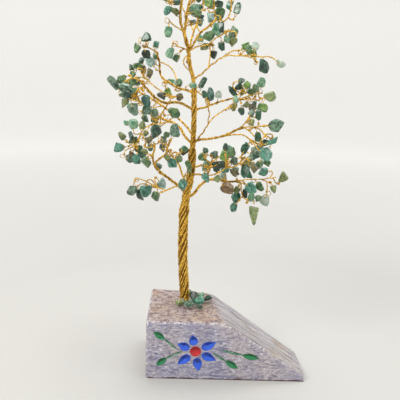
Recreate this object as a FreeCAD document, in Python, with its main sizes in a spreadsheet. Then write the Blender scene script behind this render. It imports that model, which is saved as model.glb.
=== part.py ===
import FreeCAD, Part
import math
import os
import random
import Sketcher

"""A wire tree of drilled stone chips, on a carved and painted wooden wedge.

Millimetres, +Z up, +X along the wedge towards its thin end, +Y to the back.
The origin is the middle of the wedge's underside.
"""

doc = FreeCAD.newDocument("wire_tree")
vec = FreeCAD.Vector

# ---------------------------------------------------------------- driving dimensions

sheet = doc.addObject("Spreadsheet::Sheet", "Sizes")
SIZES = {
    "base_length": 102.0,        # along X
    "base_height": 39.5,         # of the flat top
    "left_depth": 56.4,          # of the tall end
    "right_depth": 40.0,         # of the thin end: the back face runs in towards it
    "flat_front": 50.0,          # length of the flat top along the front
    "slope_angle": 34.1,         # of the sloped top, degrees
    "slope_skew": 8.6,           # the slope faces this far towards the back, degrees
    "edge_radius": 2.2,          # worn edges
    "crease_radius": 14.0,       # where the flat top rolls over into the slope
    "trunk_x": -27.2,
    "trunk_y": 7.3,
    "trunk_radius": 3.3,
    "bore_radius": 3.4,
    "bore_depth": 12.5,
    "glue_radius": 8.5,
    "glue_thick": 0.7,
    "glue_right": 4.2,           # the glue spreads off to the right of the trunk
    "glue_front": 4.2,
    "petal_inner": 4.5,          # from the flower's centre to a petal's inner end
    "petal_wide": 5.8,
    "petal_depth": 1.7,
    "centre_radius": 3.4,
    "centre_depth": 1.6,
    "leaf_wide": 5.0,
    "leaf_depth": 1.2,
    "stem_wide": 1.8,
    "stem_depth": 0.7,
    "paint_inside": 0.88,        # the painted hollow's size, against the bare one's
    "wire_radius": 0.22,         # of the single wire of a loop
    "twig_radius": 0.46,         # of a twisted pair
    "drill_radius": 0.5,         # of the hole through a stone
}
for row, (alias, value) in enumerate(SIZES.items(), start=1):
    sheet.set(f"A{row}", alias)
    sheet.set(f"B{row}", str(value))
    sheet.setAlias(f"B{row}", alias)
doc.recompute()

pieces = []                      # every sub-part, in the order that it is exported


def size(alias):
    """A driving dimension, for shapes that are built with Part's own functions."""
    return float(sheet.get(alias))


def bind(thing, **properties):
    """Sets a feature's properties to expressions of the sheet."""
    for name, expression in properties.items():
        thing.setExpression(name.replace("__", "."), expression)
    return thing


def place(thing, x=0, y=0, z=0, axis=(0, 0, 1), angle=0):
    """Puts a feature in place and returns it."""
    thing.Placement = FreeCAD.Placement(vec(x, y, z), FreeCAD.Rotation(vec(*axis), angle))
    return thing


def sub_part(thing, label):
    """Names a finished sub-part and lists it for export."""
    thing.Label = label
    pieces.append(thing)
    return thing


def shaped(shape, label):
    """A sub-part whose shape is set by code."""
    thing = doc.addObject("Part::Feature", label)
    thing.Shape = shape
    return sub_part(thing, label)


# ---------------------------------------------------------------- the wooden wedge


def wedge_outline(body):
    """The plan of the wedge: square at the tall end, its back face running in to the thin end."""
    sketch = body.newObject("Sketcher::SketchObject", "plan")
    origin = next(f for f in body.Origin.OriginFeatures if f.Role == "XY_Plane")
    sketch.AttachmentSupport = (origin, [""])
    sketch.MapMode = "FlatFace"
    half = size("base_length") / 2
    front = -size("left_depth") / 2
    corners = [
        vec(-half, front, 0),
        vec(half, front, 0),
        vec(half, front + size("right_depth"), 0),
        vec(-half, -front, 0),
    ]
    for n in range(4):
        sketch.addGeometry(Part.LineSegment(corners[n], corners[(n + 1) % 4]), False)
    rules = sketch.addConstraint
    for n in range(4):
        rules(Sketcher.Constraint("Coincident", n, 2, (n + 1) % 4, 1))
    rules(Sketcher.Constraint("Horizontal", 0))
    rules(Sketcher.Constraint("Vertical", 1))
    rules(Sketcher.Constraint("Vertical", 3))
    driven = [
        (Sketcher.Constraint("DistanceX", 0, 1, 0, 2, 2 * half), "Sizes.base_length"),
        (Sketcher.Constraint("DistanceY", 1, 1, 1, 2, size("right_depth")), "Sizes.right_depth"),
        (Sketcher.Constraint("DistanceY", 3, 2, 3, 1, -2 * front), "Sizes.left_depth"),
        (Sketcher.Constraint("DistanceX", 0, 1, -1, 1, half), "Sizes.base_length / 2"),
        (Sketcher.Constraint("DistanceY", 0, 1, -1, 1, -front), "Sizes.left_depth / 2"),
    ]
    for constraint, expression in driven:
        number = rules(constraint)
        sketch.setExpression(f"Constraints[{number}]", expression)
    return sketch


SLOPE_CUTTER = (140, 160, 80)    # a box large enough to take the whole slope off
CUTTER_START = -50               # how far in front of the block it begins


def wedge_block():
    """The block before carving: a pad of the plan, with the slope cut away and its edges worn round."""
    body = doc.addObject("PartDesign::Body", "wedge_body")
    sketch = wedge_outline(body)
    pad = body.newObject("PartDesign::Pad", "block")
    pad.Profile = sketch
    bind(pad, Length="Sizes.base_height")
    doc.recompute()
    slope = doc.addObject("Part::Box", "slope_cutter")
    slope.Length, slope.Width, slope.Height = SLOPE_CUTTER
    turn = FreeCAD.Rotation(vec(0, 0, 1), size("slope_skew"))
    turn = turn.multiply(FreeCAD.Rotation(vec(0, 1, 0), size("slope_angle")))
    crease = vec(size("flat_front") - size("base_length") / 2, -size("left_depth") / 2, size("base_height"))
    slope.Placement = FreeCAD.Placement(crease + turn.multVec(vec(0, CUTTER_START, 0)), turn)
    sloped = doc.addObject("Part::Cut", "sloped_block")
    sloped.Base, sloped.Tool = body, slope
    doc.recompute()
    return sloped


def worn_edges(block):
    """Rounds the crease of the top, then the long edges round the top and the tall end."""
    crease, worn = [], []
    half = size("base_length") / 2
    for number, edge in enumerate(block.Shape.Edges, start=1):
        box = edge.BoundBox
        high = box.ZMin > size("base_height") - 0.01
        if high and abs(box.XMax - box.XMin) < 12 and box.XMin > -half + 1:
            crease.append((number, size("crease_radius"), size("crease_radius")))
    rolled = doc.addObject("Part::Fillet", "rolled_crease")
    rolled.Base = block
    rolled.Edges = crease
    doc.recompute()
    for number, edge in enumerate(rolled.Shape.Edges, start=1):
        box = edge.BoundBox
        at_left = box.XMax < -half + 0.01
        along_top = box.ZMin > 0.5 and box.XMax - box.XMin > 5 and box.ZMax > 6
        across = box.YMax - box.YMin > size("left_depth") - 1 and box.XMin > -half + 1
        if (at_left and box.ZMax > 1) or (along_top and not across):
            worn.append((number, size("edge_radius"), size("edge_radius")))
    rounded = doc.addObject("Part::Fillet", "worn_block")
    rounded.Base = rolled
    rounded.Edges = worn
    doc.recompute()
    return rounded


FRONT = -SIZES["left_depth"] / 2
FLOWER = (-19.2, 19.5)                       # the flower's centre on the front face, (x, z)
PETAL_TIPS = [(-21.5, 30.8), (-6.3, 26.2), (-6.1, 13.6), (-16.8, 5.9), (-30.5, 10.1), (-30.7, 24.7)]
LEAVES = [                                   # from stem to tip
    ((-38.8, 27.4), (-46.0, 32.4)), ((-37.6, 14.6), (-43.9, 9.0)),
    ((-0.2, 13.6), (8.2, 8.2)), ((10.4, 17.7), (21.5, 15.7)),
]
STEMS = [                                    # from the flower to the leaf
    ((-30.6, 20.6), (-39.6, 28.0)), ((-27.6, 19.6), (-38.4, 14.0)),
    ((-8.6, 19.0), (0.8, 12.9)), ((-3.2, 21.0), (11.4, 17.5)),
]
TEARDROP = [(1, 0), (0.76, 0.27), (0.42, 0.49), (0.12, 0.37), (0, 0)]   # half an outline, from tip to root
ALMOND = [(1, 0), (0.78, 0.27), (0.5, 0.42), (0.22, 0.3), (0, 0)]
OVERCUT = 1.5                                # how far a gouge mark's solid stands out of the face


def gouge(start, end, wide, deep, half_outline, scale=1.0):
    """A cone-sided gouge mark in the front face, deepest near its broad part."""
    along = vec(end[0] - start[0], 0, end[1] - start[1])
    across = vec(0, 1, 0).cross(along).normalize() * (size(wide) * scale)
    deepest = 0.45
    deep = size(deep) * scale
    middle = vec(start[0], FRONT, start[1]) + along * deepest
    grow = (deep + OVERCUT) / deep

    def rim(share, side):
        reach = along * ((share - deepest) * scale) + across * side
        return middle + reach * grow - vec(0, OVERCUT, 0)

    halves = []
    for way in (1, -1):
        curve = Part.BSplineCurve()
        curve.interpolate([rim(share, way * side) for share, side in half_outline])
        halves.append(curve.toShape())
    bottom = Part.Vertex(middle + vec(0, deep, 0))
    mark = doc.addObject("Part::Feature", "gouge")
    mark.Shape = Part.makeLoft([bottom, Part.Wire(Part.__sortEdges__(halves))], True)
    return mark


def petal_marks(scale):
    marks = []
    for tip in PETAL_TIPS:
        reach = math.hypot(tip[0] - FLOWER[0], tip[1] - FLOWER[1])
        share = size("petal_inner") / reach
        start = (FLOWER[0] + share * (tip[0] - FLOWER[0]), FLOWER[1] + share * (tip[1] - FLOWER[1]))
        marks.append(gouge(start, tip, "petal_wide", "petal_depth", TEARDROP, scale))
    return marks


def leaf_marks(scale):
    marks = [gouge(*ends, "leaf_wide", "leaf_depth", ALMOND, scale) for ends in LEAVES]
    return marks + [gouge(*ends, "stem_wide", "stem_depth", ALMOND, scale) for ends in STEMS]


def centre_marks(scale):
    """The flower's middle: one round dish."""
    mark = doc.addObject("Part::Ellipsoid", "dish")
    bind(
        mark,
        Radius1=f"Sizes.centre_depth * {scale}",
        Radius2=f"Sizes.centre_radius * {scale}",
        Radius3=f"Sizes.centre_radius * {scale}",
    )
    return [place(mark, FLOWER[0], FRONT, FLOWER[1], axis=(1, 0, 0), angle=90)]


def fused(marks, label):
    """One tool made of several marks, or the single mark itself."""
    if len(marks) == 1:
        return marks[0]
    tool = doc.addObject("Part::MultiFuse", label)
    tool.Shapes = marks
    return tool


def paint_film(make_marks, label):
    """The coat of paint that lines some of the gouge marks, flush with the front face."""
    wood_side = doc.addObject("Part::Box", "wood_side")
    bind(wood_side, Length="Sizes.base_length", Width="Sizes.left_depth / 2", Height="Sizes.base_height")
    place(wood_side, -SIZES["base_length"] / 2, FRONT, 0)
    lining = doc.addObject("Part::Common", label + "_solid")
    lining.Base, lining.Tool = wood_side, fused(make_marks(1.0), label + "_outer")
    film = doc.addObject("Part::Cut", label)
    film.Base, film.Tool = lining, fused(make_marks(SIZES["paint_inside"]), label + "_inner")
    return sub_part(film, label)


def carved_wedge():
    """The finished wedge: the worn block, less the trunk's blind bore and the gouge marks."""
    block = worn_edges(wedge_block())
    bore = doc.addObject("Part::Cylinder", "trunk_bore")
    bind(bore, Radius="Sizes.bore_radius", Height="Sizes.bore_depth + 5")
    bind(bore, Placement__Base__x="Sizes.trunk_x", Placement__Base__y="Sizes.trunk_y")
    bind(bore, Placement__Base__z="Sizes.base_height - Sizes.bore_depth")
    marks = petal_marks(1.0) + centre_marks(1.0) + leaf_marks(1.0)
    carving = fused(marks + [bore], "carving")
    wedge = doc.addObject("Part::Cut", "wedge_base")
    wedge.Base, wedge.Tool = block, carving
    return sub_part(wedge, "wedge_base")


carved_wedge()
paint_film(petal_marks, "petal_paint")
paint_film(centre_marks, "flower_centre_paint")
paint_film(leaf_marks, "leaf_paint")

# ---------------------------------------------------------------- where the crown's pieces are

# Each branch: the wire bundles it is made of, as (radius, places), and its stones.
# A place is (x, depth, z) in the trunk's plane as seen from in front; depth is +Y, away from the viewer.
# A stone is (x, z, length, width, lean, look): lean is its long axis from upright, clockwise, in degrees.
BRANCHES = {
    "bottom_left": {
        "limbs": [
            (0.75, [(-29, 10, 116), (-33, 11, 119), (-37, 13, 117.6), (-41, 15, 115.4),
                    (-45.5, 16, 113.7)]),
            (0.45, [(-41, 15, 115.4), (-46.5, 17, 117.2), (-50, 18, 117)]),
        ],
        "stones": [
            (-62.8, 115.5, 8.5, 5.6, 10, "grey"), (-58.3, 111.5, 8.2, 3.2, -15, "dark"),
            (-54.4, 115.2, 9, 6.4, 5, "teal"), (-48, 111.2, 7.2, 6.2, 15, "moss"),
            (-44.3, 119.3, 7.5, 6.6, -35, "ice"),
        ],
    },
    "low_left": {
        "limbs": [
            (1.1, [(-28, 9, 113.5), (-33, 7, 118.8), (-38.8, 4, 122.8), (-43.2, 1, 126),
                   (-47, -2, 128.8),
                   (-49.3, -4, 132.7)]),
            (0.8, [(-49.3, -4, 132.7), (-45.5, -5, 136.5), (-41.6, -5, 139), (-40.6, -5, 144),
                   (-38.4, -4, 149)]),
            (0.8, [(-49.3, -4, 132.7), (-50.4, -7, 138), (-48.7, -9, 142.5), (-49.5, -10, 147)]),
        ],
        "stones": [
            (-54.4, 133.5, 7, 6.2, 20, "moss"), (-46.2, 131.3, 4.6, 4.2, 0, "grey"),
            (-37.5, 133.5, 6.8, 5.4, -30, "teal"), (-40.6, 137.4, 5, 3.8, 30, "olive"),
            (-43.7, 148.2, 5, 3.6, 0, "grey"), (-44.2, 143.6, 4.4, 3.2, 10, "dark"),
            (-48.4, 153.8, 7.6, 6.2, -25, "dark"), (-57.2, 157, 5.4, 4, 0, "olive"),
            (-52.7, 148.2, 5, 4, 40, "brown"),
            (-36.4, 154.2, 8, 6, 20, "speck"), (-55.5, 140.5, 4.6, 3.6, -60, "olive"),
        ],
    },
    "inner_left": {
        "limbs": [
            (0.8, [(-27, 10, 120), (-30.5, 13, 125), (-32.3, 15, 131), (-34.5, 17, 135),
                   (-38.5, 19, 139)]),
            (0.45, [(-38.5, 19, 139), (-36.4, 18, 141.3), (-33.5, 16, 140)]),
        ],
        "stones": [
            (-33, 136.6, 5.5, 3, 75, "moss"), (-30.3, 141.3, 6.8, 5.2, 60, "brown"),
            (-41.5, 151.5, 5, 4, 10, "moss"),
        ],
    },
    "front": {
        "limbs": [
            (0.5, [(-26.5, 9, 115), (-29.5, 4, 119), (-30, 1, 123.5), (-28.4, -1, 127.5)]),
            (0.5, [(-24.6, 9, 172), (-25, 4, 176), (-25, 1, 180)]),
        ],
        "stones": [
            (-30.5, 119.3, 7.5, 6.2, 10, "teal"), (-27, 131.3, 8.8, 4, -25, "moss"),
            (-25.6, 183.4, 4.6, 3.6, 80, "mint"), (-19.8, 184.5, 8.8, 2.8, 30, "dark"),
        ],
    },
    "mid_left": {
        "limbs": [
            (1.0, [(-25.5, 9, 147), (-29.8, 12, 151), (-32, 15, 155.5), (-34.8, 17, 158.5),
                   (-38.5, 19, 160.2),
                   (-43, 20, 161.3), (-46.5, 21, 163.2)]),
            (0.7, [(-38.5, 19, 160.2), (-45, 22, 159.3), (-51, 24, 158.4), (-56, 26, 155.5),
                   (-58.5, 27, 150.5),
                   (-59.5, 28, 146)]),
            (0.45, [(-58.5, 27, 150.5), (-61.5, 28, 144), (-64.6, 29, 144.8), (-67.3, 30, 148)]),
        ],
        "stones": [
            (-62.6, 157.6, 7, 6.2, 0, "mint"), (-67, 158.4, 3.4, 2.8, 90, "mint"),
            (-70, 150, 5.6, 4.8, -40, "olive"), (-64, 150.2, 6.6, 2.4, -20, "dark"),
            (-71.8, 142.9, 8.4, 6.2, 85, "teal"), (-59, 142.2, 6.6, 5, 0, "deep"),
            (-60.3, 136, 8.5, 5.4, 5, "teal"), (-63.8, 138.7, 4, 3.8, 30, "brown"),
            (-64.9, 135.2, 6, 4.2, -50, "grey"), (-50.5, 161.8, 5.6, 3.6, 0, "moss"),
            (-54.5, 152.5, 4.8, 3.6, 30, "olive"),
        ],
    },
    "upper_left": {
        "limbs": [
            (1.0, [(-25, 9, 168), (-31, 6, 171.6), (-36.3, 3, 172.8), (-41, 0, 171.6), (-45, -2, 172.4),
                   (-49, -4, 174.8), (-52.4, -6, 178.2), (-55.6, -7, 181.6), (-58.2, -8, 185.4)]),
            (0.7, [(-41, 0, 171.6), (-42.6, -2, 168), (-45, -4, 165), (-46.4, -5, 162)]),
            (0.55, [(-55.6, -7, 181.6), (-60, -10, 180.5), (-60.8, -11, 176.5), (-58.8, -11, 171)]),
            (0.5, [(-58.2, -8, 185.4), (-63.8, -9, 187), (-68.5, -10, 184)]),
        ],
        "stones": [
            (-74.7, 183, 9.2, 4.3, -40, "grey"), (-70.3, 185.6, 5.6, 4.4, 60, "moss"),
            (-67.3, 180.2, 7.4, 6, -40, "speck"), (-62.9, 184.2, 6, 4.2, 80, "moss"),
            (-62.5, 178.2, 6, 4.2, 75, "mint"), (-61.5, 174.3, 5, 4, -60, "teal"),
            (-66.4, 176, 6, 4.4, -50, "dark"),
            (-68, 171.6, 6.4, 4.4, 45, "olive"), (-62.2, 167, 7, 6, -20, "grey"),
            (-54.3, 172.5, 8, 5.4, -15, "gloss"), (-54.5, 167.2, 6, 5, 60, "speck"),
            (-48.7, 165.7, 5.4, 3.6, 0, "moss"), (-51.3, 166.3, 4, 3.6, 0, "clear"),
            (-45, 176.2, 5.6, 4.6, 90, "black"), (-37, 165.8, 7.2, 6, 70, "moss"),
            (-52.7, 190, 5.2, 2.8, 15, "brown"), (-49.2, 161.6, 4.8, 3.8, -20, "moss"),
        ],
    },
    "high_left": {
        "limbs": [
            (0.9, [(-24.6, 9, 179), (-29, 12, 180.4), (-34, 15, 181), (-38, 17, 183),
                   (-41.8, 18, 185.6),
                   (-45.9, 19, 188), (-46.2, 19, 192), (-46.7, 18, 197), (-48.2, 16, 203)]),
            (0.45, [(-46.7, 18, 197), (-41, 20, 195.2), (-37.8, 20, 192), (-36, 19, 187.5),
                    (-34.2, 15.2, 181.3)]),
            (0.6, [(-34, 14, 176), (-39.5, 15, 176.2), (-44.5, 16, 178.6), (-49.3, 17, 181.7),
                   (-54, 18, 185.6),
                   (-58, 18, 190)]),
            (0.45, [(-48.2, 16, 203), (-53, 14, 205.2), (-57.5, 12, 206.6)]),
        ],
        "stones": [
            (-54.7, 211, 7, 5.4, -5, "deep"), (-60.3, 204.8, 6.6, 4, 25, "moss"),
            (-48.8, 207.6, 4.2, 3.4, 10, "teal"), (-54.6, 201.3, 6.6, 4.8, -25, "black"),
            (-51.8, 196.8, 7.2, 5.2, -35, "ice"), (-49, 200.4, 4.2, 3.2, 0, "moss"),
            (-60, 193.6, 6.2, 5.4, -60, "moss"), (-63.6, 193.3, 4, 3.2, 0, "dark"),
            (-56.6, 192.3, 6.2, 3, -5, "brown"), (-63, 189, 5, 4, 40, "moss"),
            (-57.6, 197.6, 4.4, 3, 20, "dark"),
            (-39, 185.4, 5.4, 4.6, 80, "mint"), (-34.4, 184.8, 5.6, 4.6, 30, "moss"),
            (-40.6, 178.4, 6.2, 4.8, -30, "lime"), (-33.8, 176, 4.8, 4.2, 80, "brown"),
        ],
    },
    "small_left": {
        "limbs": [
            (0.45, [(-31.5, 9, 215), (-34.8, 7, 217.2), (-38, 5, 218.8), (-40.4, 4, 221)]),
            (0.45, [(-28.7, 9, 204.5), (-33.4, 6, 206), (-36.4, 4, 206.8)]),
            (0.4, [(-28.4, 9, 202), (-31.6, 7, 199.6), (-31.8, 7, 195.6), (-27.6, 9, 192)]),
        ],
        "stones": [(-36.4, 199.6, 4.4, 3.4, 30, "moss")],
    },
    "leader_left": {
        "limbs": [
            (1.0, [(-31.6, 9, 214), (-34.1, 8, 220.5), (-34.6, 7, 226), (-33.9, 6, 231),
                   (-33.6, 4, 238),
                   (-35, 2, 246), (-35.4, 1, 253)]),
            (0.5, [(-33.9, 6, 231), (-38.6, 4, 235), (-42.2, 2, 240), (-45, 1, 246)]),
            (0.5, [(-35, 2, 246), (-31.5, 0, 252), (-31, -1, 258)]),
        ],
        "stones": [
            (-42, 228.2, 6.4, 4.4, 35, "teal"), (-36.6, 232.6, 4.8, 3.8, 80, "dark"),
            (-37.6, 227.2, 5.5, 3.2, -50, "olive"), (-46.5, 236.5, 7, 5, -30, "mint"),
            (-50, 243.5, 7.4, 5, -45, "moss"), (-40.6, 245.5, 6.4, 5, 0, "teal"),
            (-46, 251.6, 7, 4.6, -20, "speck"), (-39.8, 256.8, 7.6, 5.2, -20, "deep"),
            (-33.4, 263.4, 7.6, 5, 0, "teal"), (-27.8, 257.5, 6.4, 4.6, 35, "moss"),
            (-29.5, 250.4, 5.4, 4, 50, "dark"),
        ],
    },
    "leader_right": {
        "limbs": [
            (1.0, [(-31.6, 9, 214), (-30.8, 11, 220.5), (-30.6, 12, 225), (-29.4, 14, 231),
                   (-27.5, 16, 238),
                   (-25, 18, 245), (-23.8, 19, 251)]),
            (0.5, [(-29.4, 14, 231), (-25.6, 17, 234), (-21.6, 19, 239)]),
        ],
        "stones": [
            (-26.5, 228.5, 8, 5.4, 45, "mint"), (-22.5, 229.6, 4.6, 3.8, 30, "teal"),
            (-23.6, 225.2, 6.8, 2.8, -75, "dark"), (-22, 221, 4.8, 4.2, 80, "grey"),
            (-26.6, 221.2, 4.6, 3, 80, "grey"), (-22.4, 245.5, 6.4, 4.6, 40, "moss"),
            (-17.4, 243.2, 7, 5, 55, "teal"), (-28.6, 243.8, 5.2, 4, -40, "olive"),
            (-19.8, 252, 7, 5, 35, "mint"), (-25.2, 257.6, 7.4, 5.2, -10, "teal"),
            (-23, 235.8, 5.6, 4, 60, "moss"),
        ],
    },
    "top_right": {
        "limbs": [
            (0.9, [(-28.5, 9, 204.5), (-26, 8, 207.9), (-23.7, 6, 212.8), (-21.8, 5, 215.4),
                   (-19, 3, 217.4),
                   (-15.5, 1, 220.5), (-12.5, 0, 223)]),
            (0.6, [(-15.5, 1, 220.5), (-8.4, -2, 221.4), (-5, -3, 224.6), (-3.4, -4, 229.4),
                   (-3.6, -5, 236)]),
            (0.45, [(-21.8, 5, 215.4), (-24.2, 5, 218.6), (-23.8, 5, 222)]),
            (0.5, [(-12.5, 0, 223), (-14, -1, 229.4), (-14.2, -2, 236), (-12, -2, 241)]),
        ],
        "stones": [
            (-17.5, 233.6, 6, 5, 0, "lime"), (-16.2, 225.2, 7.4, 3.2, -10, "ice"),
            (-10.9, 225.8, 8.6, 5.6, -5, "moss"), (-11.3, 232.2, 5, 4, 60, "dark"),
            (-4.4, 232.6, 6, 3.4, 15, "teal"), (0.2, 229.8, 7.6, 3.8, 15, "speck"),
            (-11.9, 217.2, 8, 6, 15, "mint"), (-9, 218.8, 6, 3, -10, "dark"),
            (-8.4, 240, 7, 5, 45, "teal"), (-15.8, 213.8, 7, 5.4, 60, "moss"),
            (-13.4, 246.4, 7.2, 5, 0, "moss"),
            (-18.6, 240.6, 6, 4.4, -40, "speck"), (-1.2, 238.6, 6.4, 4.4, 30, "olive"),
        ],
    },
    "upper_right": {
        "limbs": [
            (0.7, [(-27.5, 10, 204.5), (-24, 13, 206.9), (-20, 16, 207.4), (-16, 18, 208.4),
                   (-13, 19, 212),
                   (-9.5, 20, 213.8), (-6.6, 21, 215.8), (-4, 22, 217.6)]),
            (0.45, [(-16, 18, 208.4), (-15.3, 18, 204), (-15.5, 15, 198.6), (-16.4, 5, 194.6)]),
        ],
        "stones": [
            (-1.6, 216, 8.8, 5.8, 5, "moss"), (-5.6, 211.6, 5, 4.2, 0, "mint"),
            (-1.3, 210.6, 5.5, 4.4, 30, "olive"), (-8.2, 207.8, 6, 4.8, -10, "deep"),
            (-21.6, 211.8, 4.6, 3.4, 0, "mint"), (-19, 206.6, 5.6, 3, 75, "olive"),
            (-13.3, 202.6, 7.2, 3.8, -5, "black"),
        ],
    },
    "long_upper": {
        "limbs": [
            (0.75, [(-25.2, 9, 186.5), (-22.8, 8, 188.9), (-20, 6, 190.6), (-16.6, 4, 194.2),
                    (-13.4, 2, 197),
                    (-9, 0, 200.2), (-4.6, -2, 203)]),
            (0.55, [(-9, 0, 200.2), (-4.2, -3, 202.6), (0, -4, 202), (5, -5, 202.4), (9.5, -6, 201.6),
                    (13.4, -6, 200.6)]),
            (0.45, [(5, -5, 202.4), (11, -7, 203.2), (16, -8, 201.6), (21, -8, 202.6),
                    (24.4, -8, 200.8)]),
            (0.45, [(-4.6, -2, 203), (-1.6, -1, 205.2), (2.6, 0, 205.4)]),
        ],
        "stones": [
            (29, 197.6, 6, 4.2, -55, "clear"), (8.2, 206.5, 5.6, 4, 60, "moss"),
            (11, 203.6, 6.4, 4.6, -30, "lime"), (12.4, 208.6, 5.4, 4, 10, "clear"),
        ],
    },
    "mid_right": {
        "limbs": [
            (0.9, [(-24.3, 9, 167), (-21.5, 12, 169), (-17.6, 15, 169.6), (-14, 17, 171.4),
                   (-10, 19, 173),
                   (-5.3, 21, 174.6), (-1, 22, 175.8), (3, 23, 175.2), (7, 24, 175.4)]),
            (0.5, [(-24.8, 10, 180), (-21, 12, 178.6), (-17.6, 14, 175.6), (-14, 17, 171.4)]),
            (0.5, [(3, 23, 175.2), (8.4, 25, 177.4), (13.6, 25, 179), (18.4, 25, 179.8)]),
            (0.5, [(7, 24, 175.4), (12.4, 23, 176.2), (17, 22, 174.8)]),
            (0.5, [(-1, 22, 175.8), (3.6, 22, 178.4), (5.4, 22, 182)]),
        ],
        "stones": [
            (-14.5, 177.8, 8, 5, 5, "gloss"), (-9.2, 177.6, 6, 4, 10, "clear"),
            (-0.6, 180.6, 8, 3.6, -30, "deep"), (3.5, 183.2, 5.8, 4, 70, "dark"),
            (8.4, 184.6, 5.4, 4.6, 0, "lime"), (10.8, 180.2, 5.4, 4.4, 30, "moss"),
            (5.6, 180.4, 5, 4, 20, "speck"), (13.4, 182.6, 5.4, 4.4, -10, "moss"),
            (4.4, 187, 5, 3.6, 80, "grey"),
            (17, 186, 7.4, 5.6, 10, "mint"), (23, 178, 8, 7, 70, "pale"),
            (18.7, 171, 6.8, 6.2, 0, "lime"), (13.8, 173.2, 5, 3.6, 0, "grey"),
            (6, 168.4, 5.4, 3.8, -10, "dark"), (8.6, 172.2, 4.2, 3.4, 40, "olive"),
        ],
    },
    "inner_right": {
        "limbs": [
            (0.75, [(-23.6, 9, 147), (-20.8, 7, 150.8), (-18, 5, 154.4), (-15.4, 3, 158.8),
                    (-14.8, 2, 163.5),
                    (-14.9, 1, 168.5), (-16, 0, 173)]),
            (0.5, [(-15.4, 3, 158.8), (-13, 1, 162.8), (-9.6, 0, 165.6), (-5.3, -2, 168.6),
                   (-2, -3, 171)]),
        ],
        "stones": [
            (0.4, 171, 5.6, 4.8, 60, "olive"), (1.6, 175.6, 4.4, 3.6, 30, "mint"),
            (-17.8, 177.6, 5, 3.8, -25, "deep"),
        ],
    },
    "long_right": {
        "limbs": [
            (0.95, [(-24, 9, 147.5), (-20.5, 8, 149.4), (-16.8, 6, 149.7), (-12.4, 4, 150.3),
                    (-7.6, 2, 151.4),
                    (-3.6, 0, 152.8), (1, -2, 155.2), (4.6, -4, 157), (7.5, -5, 158)]),
            (0.6, [(4.6, -4, 157), (8.2, -6, 160.4), (10, -7, 163.8), (12, -7, 166.6)]),
            (0.5, [(4.6, -4, 157), (10, -6, 158.6), (15, -8, 158.2), (19, -9, 159.2), (23, -9, 159.8)]),
            (0.5, [(15, -8, 158.2), (18.6, -9, 156.6), (20.6, -10, 154), (22.8, -11, 151.2)]),
            (0.65, [(-7.6, 2, 151.4), (-2.4, 1, 152.6), (3, 0, 153.4), (8, 0, 153.2), (11.4, -1, 150.8),
                    (13.6, -2, 147)]),
            (0.5, [(7.5, -5, 158), (11.4, -6, 155.8), (14.6, -7, 152.4)]),
        ],
        "stones": [
            (12.8, 170.2, 6, 3.8, -35, "brown"), (16.2, 166, 5.8, 3.6, -10, "deep"),
            (12.4, 161.6, 4.8, 3, 10, "pale"), (12, 167.4, 4.6, 3.6, 20, "grey"),
            (28.2, 159.8, 9.6, 7.2, 85, "speck"),
            (26, 149.7, 8.6, 3.8, 65, "teal"), (17.4, 151.8, 7.4, 4.8, -20, "deep"),
            (16.8, 144.2, 7.4, 6.4, 60, "grey"), (22.8, 141.8, 8, 7, 30, "aqua"),
            (15.8, 139.4, 6.4, 4.6, 60, "deep"), (21.6, 148, 6, 4.2, 60, "dark"),
            (23.8, 135.6, 5, 4, 0, "moss"),
            (18.8, 134.4, 5.6, 4.2, 10, "moss"),
        ],
    },
    "near_right": {
        "limbs": [
            (0.8, [(-24, 9, 126), (-21.4, 6, 127), (-18.5, 4, 126.4), (-15.4, 2, 126), (-13.2, 0, 129),
                   (-13, -2, 133), (-11.6, -4, 136.4)]),
            (0.6, [(-15.4, 2, 126), (-10.6, -1, 126.6), (-6.4, -4, 128.4), (-3, -6, 131.4),
                   (-0.6, -7, 135)]),
            (0.5, [(-3, -6, 131.4), (2.4, -8, 132.2), (6, -9, 134.4), (9.4, -10, 139.4)]),
        ],
        "stones": [
            (-18.2, 138.6, 5.8, 4.6, 75, "moss"), (-16.4, 142.4, 3.4, 2.8, 0, "dark"),
            (-10.8, 140, 5.4, 3.6, 80, "grey"), (-10.4, 133.4, 5, 4, 60, "dark"),
            (-6, 133.8, 7.4, 5, 75, "black"), (-3.9, 139.4, 7.4, 5.4, -15, "lime"),
            (-3.4, 145, 4.6, 3.6, 0, "dark"), (0.8, 141.8, 6.6, 4.6, 30, "moss"),
            (2.4, 136.2, 5.4, 4.2, 30, "grey"), (8.6, 144, 6, 4, 25, "deep"),
            (12, 136.4, 5.6, 4.8, 60, "olive"), (10, 130.6, 9.4, 5, 0, "deep"),
            (14.8, 132.4, 6, 3.4, -35, "brown"), (-15.2, 132.6, 7, 3.4, 10, "mint"),
            (-16, 125.2, 7.6, 4, -10, "aqua"), (-7.8, 124.2, 5, 4.4, 20, "pale"),
        ],
    },
    "low_right": {
        "limbs": [
            (1.15, [(-27.4, 9, 111), (-23.5, 11, 113), (-20.8, 13, 116.5), (-18.8, 15, 120),
                    (-15.4, 17, 122.4),
                    (-11, 19, 123.8), (-6, 21, 123.2), (-1, 22, 122.4), (4, 23, 122.8),
                    (7.5, 24, 121.6)]),
            (0.6, [(4, 23, 122.8), (9.6, 24, 124), (15, 24, 124.6), (20.8, 24, 124.4), (26, 24, 125.6),
                   (30, 24, 126)]),
            (0.45, [(20.8, 24, 124.4), (24.2, 24, 123.4), (26.8, 24, 121.6)]),
            (0.5, [(7.5, 24, 121.6), (8, 22, 115.4), (9.6, 20, 111.6), (12.8, 18, 110.4)]),
        ],
        "stones": [
            (-3.2, 130.3, 6, 5.4, 0, "teal"), (-4.2, 126, 6.6, 4.4, -20, "ice"),
            (2.3, 129, 6.2, 4.8, -30, "brown"), (-1.4, 117.8, 9.6, 7.8, -40, "rose"),
            (4.9, 117.6, 5, 4, 20, "olive"), (5, 112.4, 8.6, 5.4, 10, "teal"),
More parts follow.
